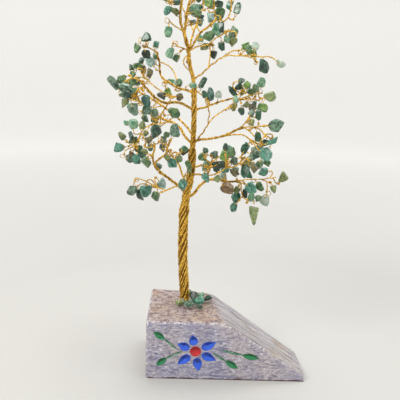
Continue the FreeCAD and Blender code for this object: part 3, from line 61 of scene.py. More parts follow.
# Each branch: the wire bundles it is made of, as (radius, places), and its stones.
# A place is (x, depth, z) in the trunk's plane as seen from in front; depth is +Y, away from
# the viewer. A stone is (x, z, length, width, lean, look): lean is its long axis from upright,
# clockwise, in degrees.
BRANCHES = {
    "bottom_left": {"limbs": [
        (0.75, [(-29, 10, 116), (-33, 11, 119), (-37, 13, 117.6), (-41, 15, 115.4),
            (-45.5, 16, 113.7)]),
        (0.45, [(-41, 15, 115.4), (-46.5, 17, 117.2), (-50, 18, 117)]),
    ], "stones": [
        (-62.8, 115.5, 8.5, 5.6, 10, "grey"), (-58.3, 111.5, 8.2, 3.2, -15, "dark"),
        (-54.4, 115.2, 9, 6.4, 5, "teal"), (-48, 111.2, 7.2, 6.2, 15, "moss"),
        (-44.3, 119.3, 7.5, 6.6, -35, "ice"),
    ]},
    "low_left": {"limbs": [
        (1.1, [(-28, 9, 113.5), (-33, 7, 118.8), (-38.8, 4, 122.8), (-43.2, 1, 126),
            (-47, -2, 128.8), (-49.3, -4, 132.7)]),
        (0.8, [(-49.3, -4, 132.7), (-45.5, -5, 136.5), (-41.6, -5, 139), (-40.6, -5, 144),
            (-38.4, -4, 149)]),
        (0.8, [(-49.3, -4, 132.7), (-50.4, -7, 138), (-48.7, -9, 142.5), (-49.5, -10, 147)]),
    ], "stones": [
        (-54.4, 133.5, 7, 6.2, 20, "moss"), (-46.2, 131.3, 4.6, 4.2, 0, "grey"),
        (-37.5, 133.5, 6.8, 5.4, -30, "teal"), (-40.6, 137.4, 5, 3.8, 30, "olive"),
        (-43.7, 148.2, 5, 3.6, 0, "grey"), (-44.2, 143.6, 4.4, 3.2, 10, "dark"),
        (-48.4, 153.8, 7.6, 6.2, -25, "dark"), (-57.2, 157, 5.4, 4, 0, "olive"),
        (-52.7, 148.2, 5, 4, 40, "brown"), (-36.4, 154.2, 8, 6, 20, "speck"),
        (-55.5, 140.5, 4.6, 3.6, -60, "olive"),
    ]},
    "inner_left": {"limbs": [
        (0.8, [(-27, 10, 120), (-30.5, 13, 125), (-32.3, 15, 131), (-34.5, 17, 135),
            (-38.5, 19, 139)]),
        (0.45, [(-38.5, 19, 139), (-36.4, 18, 141.3), (-33.5, 16, 140)]),
    ], "stones": [
        (-33, 136.6, 5.5, 3, 75, "moss"), (-30.3, 141.3, 6.8, 5.2, 60, "brown"),
        (-41.5, 151.5, 5, 4, 10, "moss"),
    ]},
    "front": {"limbs": [
        (0.5, [(-26.5, 9, 115), (-29.5, 4, 119), (-30, 1, 123.5), (-28.4, -1, 127.5)]),
        (0.5, [(-24.6, 9, 172), (-25, 4, 176), (-25, 1, 180)]),
    ], "stones": [
        (-30.5, 119.3, 7.5, 6.2, 10, "teal"), (-27, 131.3, 8.8, 4, -25, "moss"),
        (-25.6, 183.4, 4.6, 3.6, 80, "mint"), (-19.8, 184.5, 8.8, 2.8, 30, "dark"),
    ]},
    "mid_left": {"limbs": [
        (1.0, [(-25.5, 9, 147), (-29.8, 12, 151), (-32, 15, 155.5), (-34.8, 17, 158.5),
            (-38.5, 19, 160.2), (-43, 20, 161.3), (-46.5, 21, 163.2)]),
        (0.7, [(-38.5, 19, 160.2), (-45, 22, 159.3), (-51, 24, 158.4), (-56, 26, 155.5),
            (-58.5, 27, 150.5), (-59.5, 28, 146)]),
        (0.45, [(-58.5, 27, 150.5), (-61.5, 28, 144), (-64.6, 29, 144.8), (-67.3, 30, 148)]),
    ], "stones": [
        (-62.6, 157.6, 7, 6.2, 0, "mint"), (-67, 158.4, 3.4, 2.8, 90, "mint"),
        (-70, 150, 5.6, 4.8, -40, "olive"), (-64, 150.2, 6.6, 2.4, -20, "dark"),
        (-71.8, 142.9, 8.4, 6.2, 85, "teal"), (-59, 142.2, 6.6, 5, 0, "deep"),
        (-60.3, 136, 8.5, 5.4, 5, "teal"), (-63.8, 138.7, 4, 3.8, 30, "brown"),
        (-64.9, 135.2, 6, 4.2, -50, "grey"), (-50.5, 161.8, 5.6, 3.6, 0, "moss"),
        (-54.5, 152.5, 4.8, 3.6, 30, "olive"),
    ]},
    "upper_left": {"limbs": [
        (1.0, [(-25, 9, 168), (-31, 6, 171.6), (-36.3, 3, 172.8), (-41, 0, 171.6), (-45, -2, 172.4),
            (-49, -4, 174.8), (-52.4, -6, 178.2), (-55.6, -7, 181.6), (-58.2, -8, 185.4)]),
        (0.7, [(-41, 0, 171.6), (-42.6, -2, 168), (-45, -4, 165), (-46.4, -5, 162)]),
        (0.55, [(-55.6, -7, 181.6), (-60, -10, 180.5), (-60.8, -11, 176.5), (-58.8, -11, 171)]),
        (0.5, [(-58.2, -8, 185.4), (-63.8, -9, 187), (-68.5, -10, 184)]),
    ], "stones": [
        (-74.7, 183, 9.2, 4.3, -40, "grey"), (-70.3, 185.6, 5.6, 4.4, 60, "moss"),
        (-67.3, 180.2, 7.4, 6, -40, "speck"), (-62.9, 184.2, 6, 4.2, 80, "moss"),
        (-62.5, 178.2, 6, 4.2, 75, "mint"), (-61.5, 174.3, 5, 4, -60, "teal"),
        (-66.4, 176, 6, 4.4, -50, "dark"), (-68, 171.6, 6.4, 4.4, 45, "olive"),
        (-62.2, 167, 7, 6, -20, "grey"), (-54.3, 172.5, 8, 5.4, -15, "gloss"),
        (-54.5, 167.2, 6, 5, 60, "speck"), (-48.7, 165.7, 5.4, 3.6, 0, "moss"),
        (-51.3, 166.3, 4, 3.6, 0, "clear"), (-45, 176.2, 5.6, 4.6, 90, "black"),
        (-37, 165.8, 7.2, 6, 70, "moss"), (-52.7, 190, 5.2, 2.8, 15, "brown"),
        (-49.2, 161.6, 4.8, 3.8, -20, "moss"),
    ]},
    "high_left": {"limbs": [
        (0.9, [(-24.6, 9, 179), (-29, 12, 180.4), (-34, 15, 181), (-38, 17, 183),
            (-41.8, 18, 185.6), (-45.9, 19, 188), (-46.2, 19, 192), (-46.7, 18, 197),
            (-48.2, 16, 203)]),
        (0.45, [(-46.7, 18, 197), (-41, 20, 195.2), (-37.8, 20, 192), (-36, 19, 187.5),
            (-34.2, 15.2, 181.3)]),
        (0.6, [(-34, 14, 176), (-39.5, 15, 176.2), (-44.5, 16, 178.6), (-49.3, 17, 181.7),
            (-54, 18, 185.6), (-58, 18, 190)]),
        (0.45, [(-48.2, 16, 203), (-53, 14, 205.2), (-57.5, 12, 206.6)]),
    ], "stones": [
        (-54.7, 211, 7, 5.4, -5, "deep"), (-60.3, 204.8, 6.6, 4, 25, "moss"),
        (-48.8, 207.6, 4.2, 3.4, 10, "teal"), (-54.6, 201.3, 6.6, 4.8, -25, "black"),
        (-51.8, 196.8, 7.2, 5.2, -35, "ice"), (-49, 200.4, 4.2, 3.2, 0, "moss"),
        (-60, 193.6, 6.2, 5.4, -60, "moss"), (-63.6, 193.3, 4, 3.2, 0, "dark"),
        (-56.6, 192.3, 6.2, 3, -5, "brown"), (-63, 189, 5, 4, 40, "moss"),
        (-57.6, 197.6, 4.4, 3, 20, "dark"), (-39, 185.4, 5.4, 4.6, 80, "mint"),
        (-34.4, 184.8, 5.6, 4.6, 30, "moss"), (-40.6, 178.4, 6.2, 4.8, -30, "lime"),
        (-33.8, 176, 4.8, 4.2, 80, "brown"),
    ]},
    "small_left": {"limbs": [
        (0.45, [(-31.5, 9, 215), (-34.8, 7, 217.2), (-38, 5, 218.8), (-40.4, 4, 221)]),
        (0.45, [(-28.7, 9, 204.5), (-33.4, 6, 206), (-36.4, 4, 206.8)]),
        (0.4, [(-28.4, 9, 202), (-31.6, 7, 199.6), (-31.8, 7, 195.6), (-27.6, 9, 192)]),
    ], "stones": [
        (-36.4, 199.6, 4.4, 3.4, 30, "moss"),
    ]},
    "leader_left": {"limbs": [
        (1.0, [(-31.6, 9, 214), (-34.1, 8, 220.5), (-34.6, 7, 226), (-33.9, 6, 231),
            (-33.6, 4, 238), (-35, 2, 246), (-35.4, 1, 253)]),
        (0.5, [(-33.9, 6, 231), (-38.6, 4, 235), (-42.2, 2, 240), (-45, 1, 246)]),
        (0.5, [(-35, 2, 246), (-31.5, 0, 252), (-31, -1, 258)]),
    ], "stones": [
        (-42, 228.2, 6.4, 4.4, 35, "teal"), (-36.6, 232.6, 4.8, 3.8, 80, "dark"),
        (-37.6, 227.2, 5.5, 3.2, -50, "olive"), (-46.5, 236.5, 7, 5, -30, "mint"),
        (-50, 243.5, 7.4, 5, -45, "moss"), (-40.6, 245.5, 6.4, 5, 0, "teal"),
        (-46, 251.6, 7, 4.6, -20, "speck"), (-39.8, 256.8, 7.6, 5.2, -20, "deep"),
        (-33.4, 263.4, 7.6, 5, 0, "teal"), (-27.8, 257.5, 6.4, 4.6, 35, "moss"),
        (-29.5, 250.4, 5.4, 4, 50, "dark"),
    ]},
    "leader_right": {"limbs": [
        (1.0, [(-31.6, 9, 214), (-30.8, 11, 220.5), (-30.6, 12, 225), (-29.4, 14, 231),
            (-27.5, 16, 238), (-25, 18, 245), (-23.8, 19, 251)]),
        (0.5, [(-29.4, 14, 231), (-25.6, 17, 234), (-21.6, 19, 239)]),
    ], "stones": [
        (-26.5, 228.5, 8, 5.4, 45, "mint"), (-22.5, 229.6, 4.6, 3.8, 30, "teal"),
        (-23.6, 225.2, 6.8, 2.8, -75, "dark"), (-22, 221, 4.8, 4.2, 80, "grey"),
        (-26.6, 221.2, 4.6, 3, 80, "grey"), (-22.4, 245.5, 6.4, 4.6, 40, "moss"),
        (-17.4, 243.2, 7, 5, 55, "teal"), (-28.6, 243.8, 5.2, 4, -40, "olive"),
        (-19.8, 252, 7, 5, 35, "mint"), (-25.2, 257.6, 7.4, 5.2, -10, "teal"),
        (-23, 235.8, 5.6, 4, 60, "moss"),
    ]},
    "top_right": {"limbs": [
        (0.9, [(-28.5, 9, 204.5), (-26, 8, 207.9), (-23.7, 6, 212.8), (-21.8, 5, 215.4),
            (-19, 3, 217.4), (-15.5, 1, 220.5), (-12.5, 0, 223)]),
        (0.6, [(-15.5, 1, 220.5), (-8.4, -2, 221.4), (-5, -3, 224.6), (-3.4, -4, 229.4),
            (-3.6, -5, 236)]),
        (0.45, [(-21.8, 5, 215.4), (-24.2, 5, 218.6), (-23.8, 5, 222)]),
        (0.5, [(-12.5, 0, 223), (-14, -1, 229.4), (-14.2, -2, 236), (-12, -2, 241)]),
    ], "stones": [
        (-17.5, 233.6, 6, 5, 0, "lime"), (-16.2, 225.2, 7.4, 3.2, -10, "ice"),
        (-10.9, 225.8, 8.6, 5.6, -5, "moss"), (-11.3, 232.2, 5, 4, 60, "dark"),
        (-4.4, 232.6, 6, 3.4, 15, "teal"), (0.2, 229.8, 7.6, 3.8, 15, "speck"),
        (-11.9, 217.2, 8, 6, 15, "mint"), (-9, 218.8, 6, 3, -10, "dark"),
        (-8.4, 240, 7, 5, 45, "teal"), (-15.8, 213.8, 7, 5.4, 60, "moss"),
        (-13.4, 246.4, 7.2, 5, 0, "moss"), (-18.6, 240.6, 6, 4.4, -40, "speck"),
        (-1.2, 238.6, 6.4, 4.4, 30, "olive"),
    ]},
    "upper_right": {"limbs": [
        (0.7, [(-27.5, 10, 204.5), (-24, 13, 206.9), (-20, 16, 207.4), (-16, 18, 208.4),
            (-13, 19, 212), (-9.5, 20, 213.8), (-6.6, 21, 215.8), (-4, 22, 217.6)]),
        (0.45, [(-16, 18, 208.4), (-15.3, 18, 204), (-15.5, 15, 198.6), (-16.4, 5, 194.6)]),
    ], "stones": [
        (-1.6, 216, 8.8, 5.8, 5, "moss"), (-5.6, 211.6, 5, 4.2, 0, "mint"),
        (-1.3, 210.6, 5.5, 4.4, 30, "olive"), (-8.2, 207.8, 6, 4.8, -10, "deep"),
        (-21.6, 211.8, 4.6, 3.4, 0, "mint"), (-19, 206.6, 5.6, 3, 75, "olive"),
        (-13.3, 202.6, 7.2, 3.8, -5, "black"),
    ]},
    "long_upper": {"limbs": [
        (0.75, [(-25.2, 9, 186.5), (-22.8, 8, 188.9), (-20, 6, 190.6), (-16.6, 4, 194.2),
            (-13.4, 2, 197), (-9, 0, 200.2), (-4.6, -2, 203)]),
        (0.55, [(-9, 0, 200.2), (-4.2, -3, 202.6), (0, -4, 202), (5, -5, 202.4), (9.5, -6, 201.6),
            (13.4, -6, 200.6)]),
        (0.45, [(5, -5, 202.4), (11, -7, 203.2), (16, -8, 201.6), (21, -8, 202.6),
            (24.4, -8, 200.8)]),
        (0.45, [(-4.6, -2, 203), (-1.6, -1, 205.2), (2.6, 0, 205.4)]),
    ], "stones": [
        (29, 197.6, 6, 4.2, -55, "clear"), (8.2, 206.5, 5.6, 4, 60, "moss"),
        (11, 203.6, 6.4, 4.6, -30, "lime"), (12.4, 208.6, 5.4, 4, 10, "clear"),
    ]},
    "mid_right": {"limbs": [
        (0.9, [(-24.3, 9, 167), (-21.5, 12, 169), (-17.6, 15, 169.6), (-14, 17, 171.4),
            (-10, 19, 173), (-5.3, 21, 174.6), (-1, 22, 175.8), (3, 23, 175.2), (7, 24, 175.4)]),
        (0.5, [(-24.8, 10, 180), (-21, 12, 178.6), (-17.6, 14, 175.6), (-14, 17, 171.4)]),
        (0.5, [(3, 23, 175.2), (8.4, 25, 177.4), (13.6, 25, 179), (18.4, 25, 179.8)]),
        (0.5, [(7, 24, 175.4), (12.4, 23, 176.2), (17, 22, 174.8)]),
        (0.5, [(-1, 22, 175.8), (3.6, 22, 178.4), (5.4, 22, 182)]),
    ], "stones": [
        (-14.5, 177.8, 8, 5, 5, "gloss"), (-9.2, 177.6, 6, 4, 10, "clear"),
        (-0.6, 180.6, 8, 3.6, -30, "deep"), (3.5, 183.2, 5.8, 4, 70, "dark"),
        (8.4, 184.6, 5.4, 4.6, 0, "lime"), (10.8, 180.2, 5.4, 4.4, 30, "moss"),
        (5.6, 180.4, 5, 4, 20, "speck"), (13.4, 182.6, 5.4, 4.4, -10, "moss"),
        (4.4, 187, 5, 3.6, 80, "grey"), (17, 186, 7.4, 5.6, 10, "mint"),
        (23, 178, 8, 7, 70, "pale"), (18.7, 171, 6.8, 6.2, 0, "lime"),
        (13.8, 173.2, 5, 3.6, 0, "grey"), (6, 168.4, 5.4, 3.8, -10, "dark"),
        (8.6, 172.2, 4.2, 3.4, 40, "olive"),
    ]},
    "inner_right": {"limbs": [
        (0.75, [(-23.6, 9, 147), (-20.8, 7, 150.8), (-18, 5, 154.4), (-15.4, 3, 158.8),
            (-14.8, 2, 163.5), (-14.9, 1, 168.5), (-16, 0, 173)]),
        (0.5, [(-15.4, 3, 158.8), (-13, 1, 162.8), (-9.6, 0, 165.6), (-5.3, -2, 168.6),
            (-2, -3, 171)]),
    ], "stones": [
        (0.4, 171, 5.6, 4.8, 60, "olive"), (1.6, 175.6, 4.4, 3.6, 30, "mint"),
        (-17.8, 177.6, 5, 3.8, -25, "deep"),
    ]},
    "long_right": {"limbs": [
        (0.95, [(-24, 9, 147.5), (-20.5, 8, 149.4), (-16.8, 6, 149.7), (-12.4, 4, 150.3),
            (-7.6, 2, 151.4), (-3.6, 0, 152.8), (1, -2, 155.2), (4.6, -4, 157), (7.5, -5, 158)]),
        (0.6, [(4.6, -4, 157), (8.2, -6, 160.4), (10, -7, 163.8), (12, -7, 166.6)]),
        (0.5, [(4.6, -4, 157), (10, -6, 158.6), (15, -8, 158.2), (19, -9, 159.2), (23, -9, 159.8)]),
        (0.5, [(15, -8, 158.2), (18.6, -9, 156.6), (20.6, -10, 154), (22.8, -11, 151.2)]),
        (0.65, [(-7.6, 2, 151.4), (-2.4, 1, 152.6), (3, 0, 153.4), (8, 0, 153.2), (11.4, -1, 150.8),
            (13.6, -2, 147)]),
        (0.5, [(7.5, -5, 158), (11.4, -6, 155.8), (14.6, -7, 152.4)]),
    ], "stones": [
        (12.8, 170.2, 6, 3.8, -35, "brown"), (16.2, 166, 5.8, 3.6, -10, "deep"),
        (12.4, 161.6, 4.8, 3, 10, "pale"), (12, 167.4, 4.6, 3.6, 20, "grey"),
        (28.2, 159.8, 9.6, 7.2, 85, "speck"), (26, 149.7, 8.6, 3.8, 65, "teal"),
        (17.4, 151.8, 7.4, 4.8, -20, "deep"), (16.8, 144.2, 7.4, 6.4, 60, "grey"),
        (22.8, 141.8, 8, 7, 30, "aqua"), (15.8, 139.4, 6.4, 4.6, 60, "deep"),
        (21.6, 148, 6, 4.2, 60, "dark"), (23.8, 135.6, 5, 4, 0, "moss"),
        (18.8, 134.4, 5.6, 4.2, 10, "moss"),
    ]},
    "near_right": {"limbs": [
        (0.8, [(-24, 9, 126), (-21.4, 6, 127), (-18.5, 4, 126.4), (-15.4, 2, 126), (-13.2, 0, 129),
            (-13, -2, 133), (-11.6, -4, 136.4)]),
        (0.6, [(-15.4, 2, 126), (-10.6, -1, 126.6), (-6.4, -4, 128.4), (-3, -6, 131.4),
            (-0.6, -7, 135)]),
        (0.5, [(-3, -6, 131.4), (2.4, -8, 132.2), (6, -9, 134.4), (9.4, -10, 139.4)]),
    ], "stones": [
        (-18.2, 138.6, 5.8, 4.6, 75, "moss"), (-16.4, 142.4, 3.4, 2.8, 0, "dark"),
        (-10.8, 140, 5.4, 3.6, 80, "grey"), (-10.4, 133.4, 5, 4, 60, "dark"),
        (-6, 133.8, 7.4, 5, 75, "black"), (-3.9, 139.4, 7.4, 5.4, -15, "lime"),
        (-3.4, 145, 4.6, 3.6, 0, "dark"), (0.8, 141.8, 6.6, 4.6, 30, "moss"),
        (2.4, 136.2, 5.4, 4.2, 30, "grey"), (8.6, 144, 6, 4, 25, "deep"),
        (12, 136.4, 5.6, 4.8, 60, "olive"), (10, 130.6, 9.4, 5, 0, "deep"),
        (14.8, 132.4, 6, 3.4, -35, "brown"), (-15.2, 132.6, 7, 3.4, 10, "mint"),
        (-16, 125.2, 7.6, 4, -10, "aqua"), (-7.8, 124.2, 5, 4.4, 20, "pale"),
    ]},
    "low_right": {"limbs": [
        (1.15, [(-27.4, 9, 111), (-23.5, 11, 113), (-20.8, 13, 116.5), (-18.8, 15, 120),
            (-15.4, 17, 122.4), (-11, 19, 123.8), (-6, 21, 123.2), (-1, 22, 122.4), (4, 23, 122.8),
            (7.5, 24, 121.6)]),
        (0.6, [(4, 23, 122.8), (9.6, 24, 124), (15, 24, 124.6), (20.8, 24, 124.4), (26, 24, 125.6),
            (30, 24, 126)]),
        (0.45, [(20.8, 24, 124.4), (24.2, 24, 123.4), (26.8, 24, 121.6)]),
        (0.5, [(7.5, 24, 121.6), (8, 22, 115.4), (9.6, 20, 111.6), (12.8, 18, 110.4)]),
    ], "stones": [
        (-3.2, 130.3, 6, 5.4, 0, "teal"), (-4.2, 126, 6.6, 4.4, -20, "ice"),
        (2.3, 129, 6.2, 4.8, -30, "brown"), (-1.4, 117.8, 9.6, 7.8, -40, "rose"),
        (4.9, 117.6, 5, 4, 20, "olive"), (5, 112.4, 8.6, 5.4, 10, "teal"),
        (3.4, 105.6, 6.6, 5.2, 35, "teal"), (10.4, 115.2, 7.4, 3.9, 0, "black"),
        (13.8, 118, 7.8, 6.2, -45, "aqua"), (19.9, 119.8, 6.8, 5.4, -40, "moss"),
        (28.8, 118.6, 7, 4, -25, "pale"), (34.6, 126.6, 7.4, 6.8, 20, "olive"),
        (14.8, 112.6, 6.2, 5, 30, "mint"), (19, 112, 4.4, 3.4, 60, "moss"),
        (23.4, 110.4, 7.8, 6.6, 10, "clear"), (21.6, 129.6, 8, 5.6, 85, "teal"),
    ]},
    "back_left": {"limbs": [
        (0.9, [(-25.4, 10, 153), (-29, 20, 158), (-36, 27, 164), (-44, 32, 170), (-52, 35, 175),
            (-59, 37, 178)]),
        (0.6, [(-44, 32, 170), (-51, 34, 168.6), (-57, 36, 167)]),
        (0.6, [(-36, 27, 164), (-43, 29, 159), (-50, 31, 153), (-55, 32, 147)]),
    ], "stones": [
        (-66, 183, 7, 5, -50, "moss"), (-60.4, 185, 6.6, 4.6, -10, "deep"),
        (-68.6, 175.6, 6.4, 4.8, -80, "teal"), (-63.4, 169, 7, 5, 60, "mint"),
        (-55, 161.6, 6.4, 4.6, -30, "grey"), (-61.6, 147.6, 7, 5, 70, "moss"),
        (-56.6, 138.6, 7.4, 5, 15, "deep"), (-51.6, 143.6, 6, 4.4, 0, "speck"),
    ]},
    "back_right": {"limbs": [
        (0.9, [(-24, 10, 131), (-19, 22, 132.6), (-12, 29, 134.4), (-5, 34, 135.6), (2, 37, 135.4),
            (8, 39, 133.6)]),
        (0.6, [(-12, 29, 134.4), (-8, 33, 138.4), (-3, 36, 141)]),
        (0.6, [(2, 37, 135.4), (7, 39, 139.6), (10.4, 40, 142.4)]),
    ], "stones": [
        (13.6, 139, 6.4, 4.8, 60, "moss"), (9.6, 146, 6, 4.4, 10, "teal"),
        (11.6, 128.6, 7.4, 5, -20, "deep"), (3.4, 130, 6.6, 4.8, 10, "speck"),
        (-1.6, 143.6, 6.4, 4.4, 30, "mint"), (-8.6, 131, 6.6, 4.8, -10, "dark"),
        (-10, 139.6, 6, 4.4, -20, "moss"),
    ]},
    "back_top": {"limbs": [
        (0.9, [(-29.4, 9, 197), (-28.4, 20, 205), (-26, 28, 216), (-22, 33, 226), (-20, 35, 234),
            (-21, 36, 240)]),
        (0.6, [(-26, 28, 216), (-31, 32, 226), (-36, 34, 234), (-39, 35, 240)]),
    ], "stones": [
        (-19.6, 247.6, 7.4, 5, 10, "deep"), (-26.6, 246.4, 6.6, 4.8, -40, "mint"),
        (-14.4, 238.6, 6.6, 4.8, 60, "moss"), (-15.6, 231.6, 6.4, 4.6, 50, "teal"),
        (-44, 243.6, 7, 5, -50, "moss"), (-37.6, 247.4, 7, 4.8, 5, "teal"),
        (-33, 238.6, 6, 4.4, 30, "speck"), (-42.6, 234.6, 6.4, 4.6, -70, "olive"),
    ]},
}

# Stones that hang free from a loop: (branch, x, z, length, width, lean, look)
PENDANTS = {
    "left_pendant": ("small_left", -41.4, 215.4, 7.6, 4.7, 3, "mint"),
    "short_pendant": ("small_left", -39.6, 202.8, 6.8, 5.8, 10, "mint"),
    "right_pendant": ("long_upper", 18.2, 196, 7.8, 6, -8, "dark"),
    "long_pendant": ("low_right", 16.9, 101.4, 16.4, 5.6, -3, "pale"),
}
LATE_STONES = [                   # chips at the ends of limbs, placed when the others are in place
    ("top_right", (-23.5, 227, 5.2, 4.2, 4, "moss")),
    ("mid_left", (-51, 165.6, 5.2, 4.2, -62, "dark")),
    ("long_upper", (6.6, 208.4, 5.4, 4.2, 52, "lime")),
    ("inner_left", (-30, 143, 5, 4, 40, "mint")),
]

EYE = (-25.0, -385.7, 207.0)      # the front viewpoint that the crown is composed for
TRUNK_DEPTH = 7.3                 # the trunk's plane
PLAN_DEPTH = 9.0                  # the depth that the layout gives the trunk's plane
DEPTH_SPREAD = 1.4                # how far the crown is fanned out of that plane
DEPTH_STEPS = (0, 2, -2, 4, -4, 6, -6, 8, -8, 10, -10, 12, -12, 15, -15, 18, -18)
STONE_GAP = 0.5                   # least room between a stone and its neighbours
THICK_SHARE = 0.55                # a stone's thickness against its width
SLIM_WIDTH = 3.45                 # a stone narrower than this is seen edge-on
SLIM_FULL_WIDTH = 4.8
HOLE_INSET = 1.4                  # from a stone's end to its drilled hole
LOOP_HEIGHT = 3.2                 # from the hole to where the loop's legs are twisted together
HEELS = 7                         # corners of a stone's outline, before one or two are left out
CORNER_REACH = 0.53               # from a stone's middle to a corner, against its size


def add(a, b, share=1.0):
    """a, moved by share times b."""
    return (a[0] + share * b[0], a[1] + share * b[1], a[2] + share * b[2])


def sub(a, b):
    return (a[0] - b[0], a[1] - b[1], a[2] - b[2])


def dot(a, b):
    return a[0] * b[0] + a[1] * b[1] + a[2] * b[2]


def cross(a, b):
    return (a[1] * b[2] - a[2] * b[1], a[2] * b[0] - a[0] * b[2], a[0] * b[1] - a[1] * b[0])


def size_of(a):
    return math.sqrt(dot(a, a))


def unit(a):
    return tuple(v / size_of(a) for v in a)


def fanned(x, depth, z):
    """A place of the layout, moved along the line of sight to its own depth."""
    y = TRUNK_DEPTH + DEPTH_SPREAD * (depth - PLAN_DEPTH)
    share = (y - EYE[1]) / (TRUNK_DEPTH - EYE[1])
    return (EYE[0] + (x - EYE[0]) * share, y, EYE[2] + (z - EYE[2]) * share)


def gap_between(p, q, a, b):
    """The least distance between the straight pieces p-q and a-b."""
    d, e, r = sub(q, p), sub(b, a), sub(p, a)
    dd, ee, de = dot(d, d) + 1e-12, dot(e, e) + 1e-12, dot(d, e)
    rd, re = dot(r, d), dot(r, e)
    scale = dd * ee - de * de
    s = min(1, max(0, (de * re - rd * ee) / scale)) if scale > 1e-9 else 0
    t = min(1, max(0, (de * s + re) / ee))
    s = min(1, max(0, (de * t - rd) / dd))
    return size_of(sub(add(p, d, s), add(a, e, t)))


def limb_pieces(limbs):
    """The straight pieces of a branch's bundles, as (start, end, radius)."""
    pieces = []
    for radius, places in limbs:
        points = [fanned(*place) for place in places]
        pieces += [(p, q, radius) for p, q in zip(points, points[1:])]
    return pieces


def depth_near(limbs, x, z):
    """The layout depth of the bundle that passes nearest to (x, z) in the front view."""
    best = None
    for _, places in limbs:
        for p, q in zip(places, places[1:]):
            for step in range(5):
                at = add(p, sub(q, p), step / 4)
                far = math.hypot(at[0] - x, at[2] - z)
                if best is None or far < best[0]:
                    best = (far, at[1])
    return best[1]


def twig_root(pieces, apex):
    """Where a twig leaves its bundle: a little back towards the trunk from the nearest place."""
    best = None
    for p, q, _ in pieces:
        run = sub(q, p)
        share = min(1, max(0, dot(sub(apex, p), run) / dot(run, run)))
        far = size_of(sub(apex, add(p, run, share)))
        if best is None or far < best[0] - 0.01:
            back = max(0, share - 0.45 * far / size_of(run))
            best = (far, add(p, run, back))
    return best[1]


def stone_at(pieces, spec, depth, turns, hangs):
    """One stone and its twig: centre, axes, sizes, drilled hole and the twig's three places."""
    x, z, length, width, lean, look = spec
    pitch, roll = turns
    slim = width < SLIM_WIDTH
    full = SLIM_FULL_WIDTH if slim else width
    thick = width if slim else THICK_SHARE * width
    lean, pitch = math.radians(lean), math.radians(pitch)
    roll = math.radians(80 if slim else roll)
    level = math.cos(pitch)
    along = (math.sin(lean) * level, math.sin(pitch), math.cos(lean) * level)
    centre = fanned(x, depth, z)
    ends = [add(centre, along, side * length / 2) for side in (1, -1)]
    roots = [twig_root(pieces, end) for end in ends]
    near = 0 if hangs else min((0, 1), key=lambda n: size_of(sub(ends[n], roots[n])))
    out = along if near == 0 else tuple(-v for v in along)
    face = unit(sub((0, 1, 0), tuple(out[1] * v for v in out)))
    side = cross(out, face)
    thin = unit(add(tuple(math.cos(roll) * v for v in face), side, math.sin(roll)))
    hole = add(centre, out, length / 2 - HOLE_INSET)
    apex = add(hole, out, LOOP_HEIGHT)
    root = twig_root(pieces, apex)
    reach = size_of(sub(apex, root))
    toward = unit(sub(root, apex)) if reach > 0.01 else out
    lead = unit(add(out, toward, 1.0 if dot(out, toward) > -0.9 else 0.0))
    bend = add(apex, lead, min(0.45 * reach, 4.0))
    return {
        "centre": centre, "out": out, "thin": thin, "across": cross(thin, out),
        "size": (length, full, thick), "hole": hole, "apex": apex,
        "twig": [root, bend, apex] if reach > 1.2 else [root, apex], "look": look,
    }


def room_for(stone, stones, wires):
    """How clear a stone and its twig stand of everything placed so far."""
    length, width, thick = stone["size"]
    radius = 0.25 * (width + thick)
    half = max(0.0, length / 2 - radius)
    p, q = add(stone["centre"], stone["out"], half), add(stone["centre"], stone["out"], -half)
    room = 9.0
    for a, b, other in stones + wires:
        room = min(room, gap_between(p, q, a, b) - radius - other)
    for a, b in zip(stone["twig"], stone["twig"][1:]):
        for c, d, other in stones:
            room = min(room, gap_between(a, b, c, d) - other - 0.5)
    return room, (p, q, radius)


def lay_out(branches, pendants, late, trunk):
    """Every stone of the crown, by branch, each moved in depth until it clears its neighbours."""
    rng = random.Random(11)
    stones, wires, result = [], [], {name: [] for name in branches}
    wires += [(fanned(*p), fanned(*q), radius) for p, q, radius in trunk]
    for branch in branches.values():
        wires += limb_pieces(branch["limbs"])
    jobs = [(branch, pendant, tuple(spec)) for pendant, (branch, *spec) in pendants.items()]
    for name, branch in branches.items():
        jobs += [(name, None, spec) for spec in branch["stones"]]
    jobs += [(name, None, spec) for name, spec in late]
    for name, pendant, spec in jobs:
        limbs = branches[name]["limbs"]
        pieces = limb_pieces(limbs)
        middle = depth_near(limbs, spec[0], spec[1])
        turns = (rng.uniform(-22, 22), rng.uniform(-32, 32))
        if pendant:
            turns = (0, rng.uniform(-12, 12))
        tried = []
        for step in DEPTH_STEPS:
            stone = stone_at(pieces, spec, middle + step, turns, pendant)
            room, body = room_for(stone, stones, wires)
            tried.append((min(room, STONE_GAP), -abs(step), step, stone, body))
            if room >= STONE_GAP:
                break
        stone, body = max(tried, key=lambda t: t[:3])[3:]
        stone["room"] = max(tried)[0]
        stone["name"] = pendant
        stone["seed"] = rng.randrange(10000)
        stones.append(body)
        wires += [(a, b, 0.45) for a, b in zip(stone["twig"], stone["twig"][1:])]
        result[name].append(stone)
    return result


def outline_of(stone):
    """The five or six corners of a stone's outline, as (along, across), in order round it."""
    rng = random.Random(stone["seed"])
    length, width, _ = stone["size"]
    taper, skew = rng.uniform(-0.42, 0.42), rng.uniform(-0.2, 0.2)
    dropped = rng.sample(range(0, HEELS - 1, 2), rng.choice((1, 2)))
    corners = []
    for n in range(HEELS):
        angle = 2 * math.pi * (n + rng.uniform(-0.26, 0.26)) / HEELS
        u, v = math.cos(angle), math.sin(angle)
        if n not in dropped:
            bulge = v * (1 + taper * u) + skew * u
            corners.append((length * CORNER_REACH * u, width * CORNER_REACH * bulge))
    return corners


# ---------------------------------------------------------------- mesh helpers (mm in, metres out)


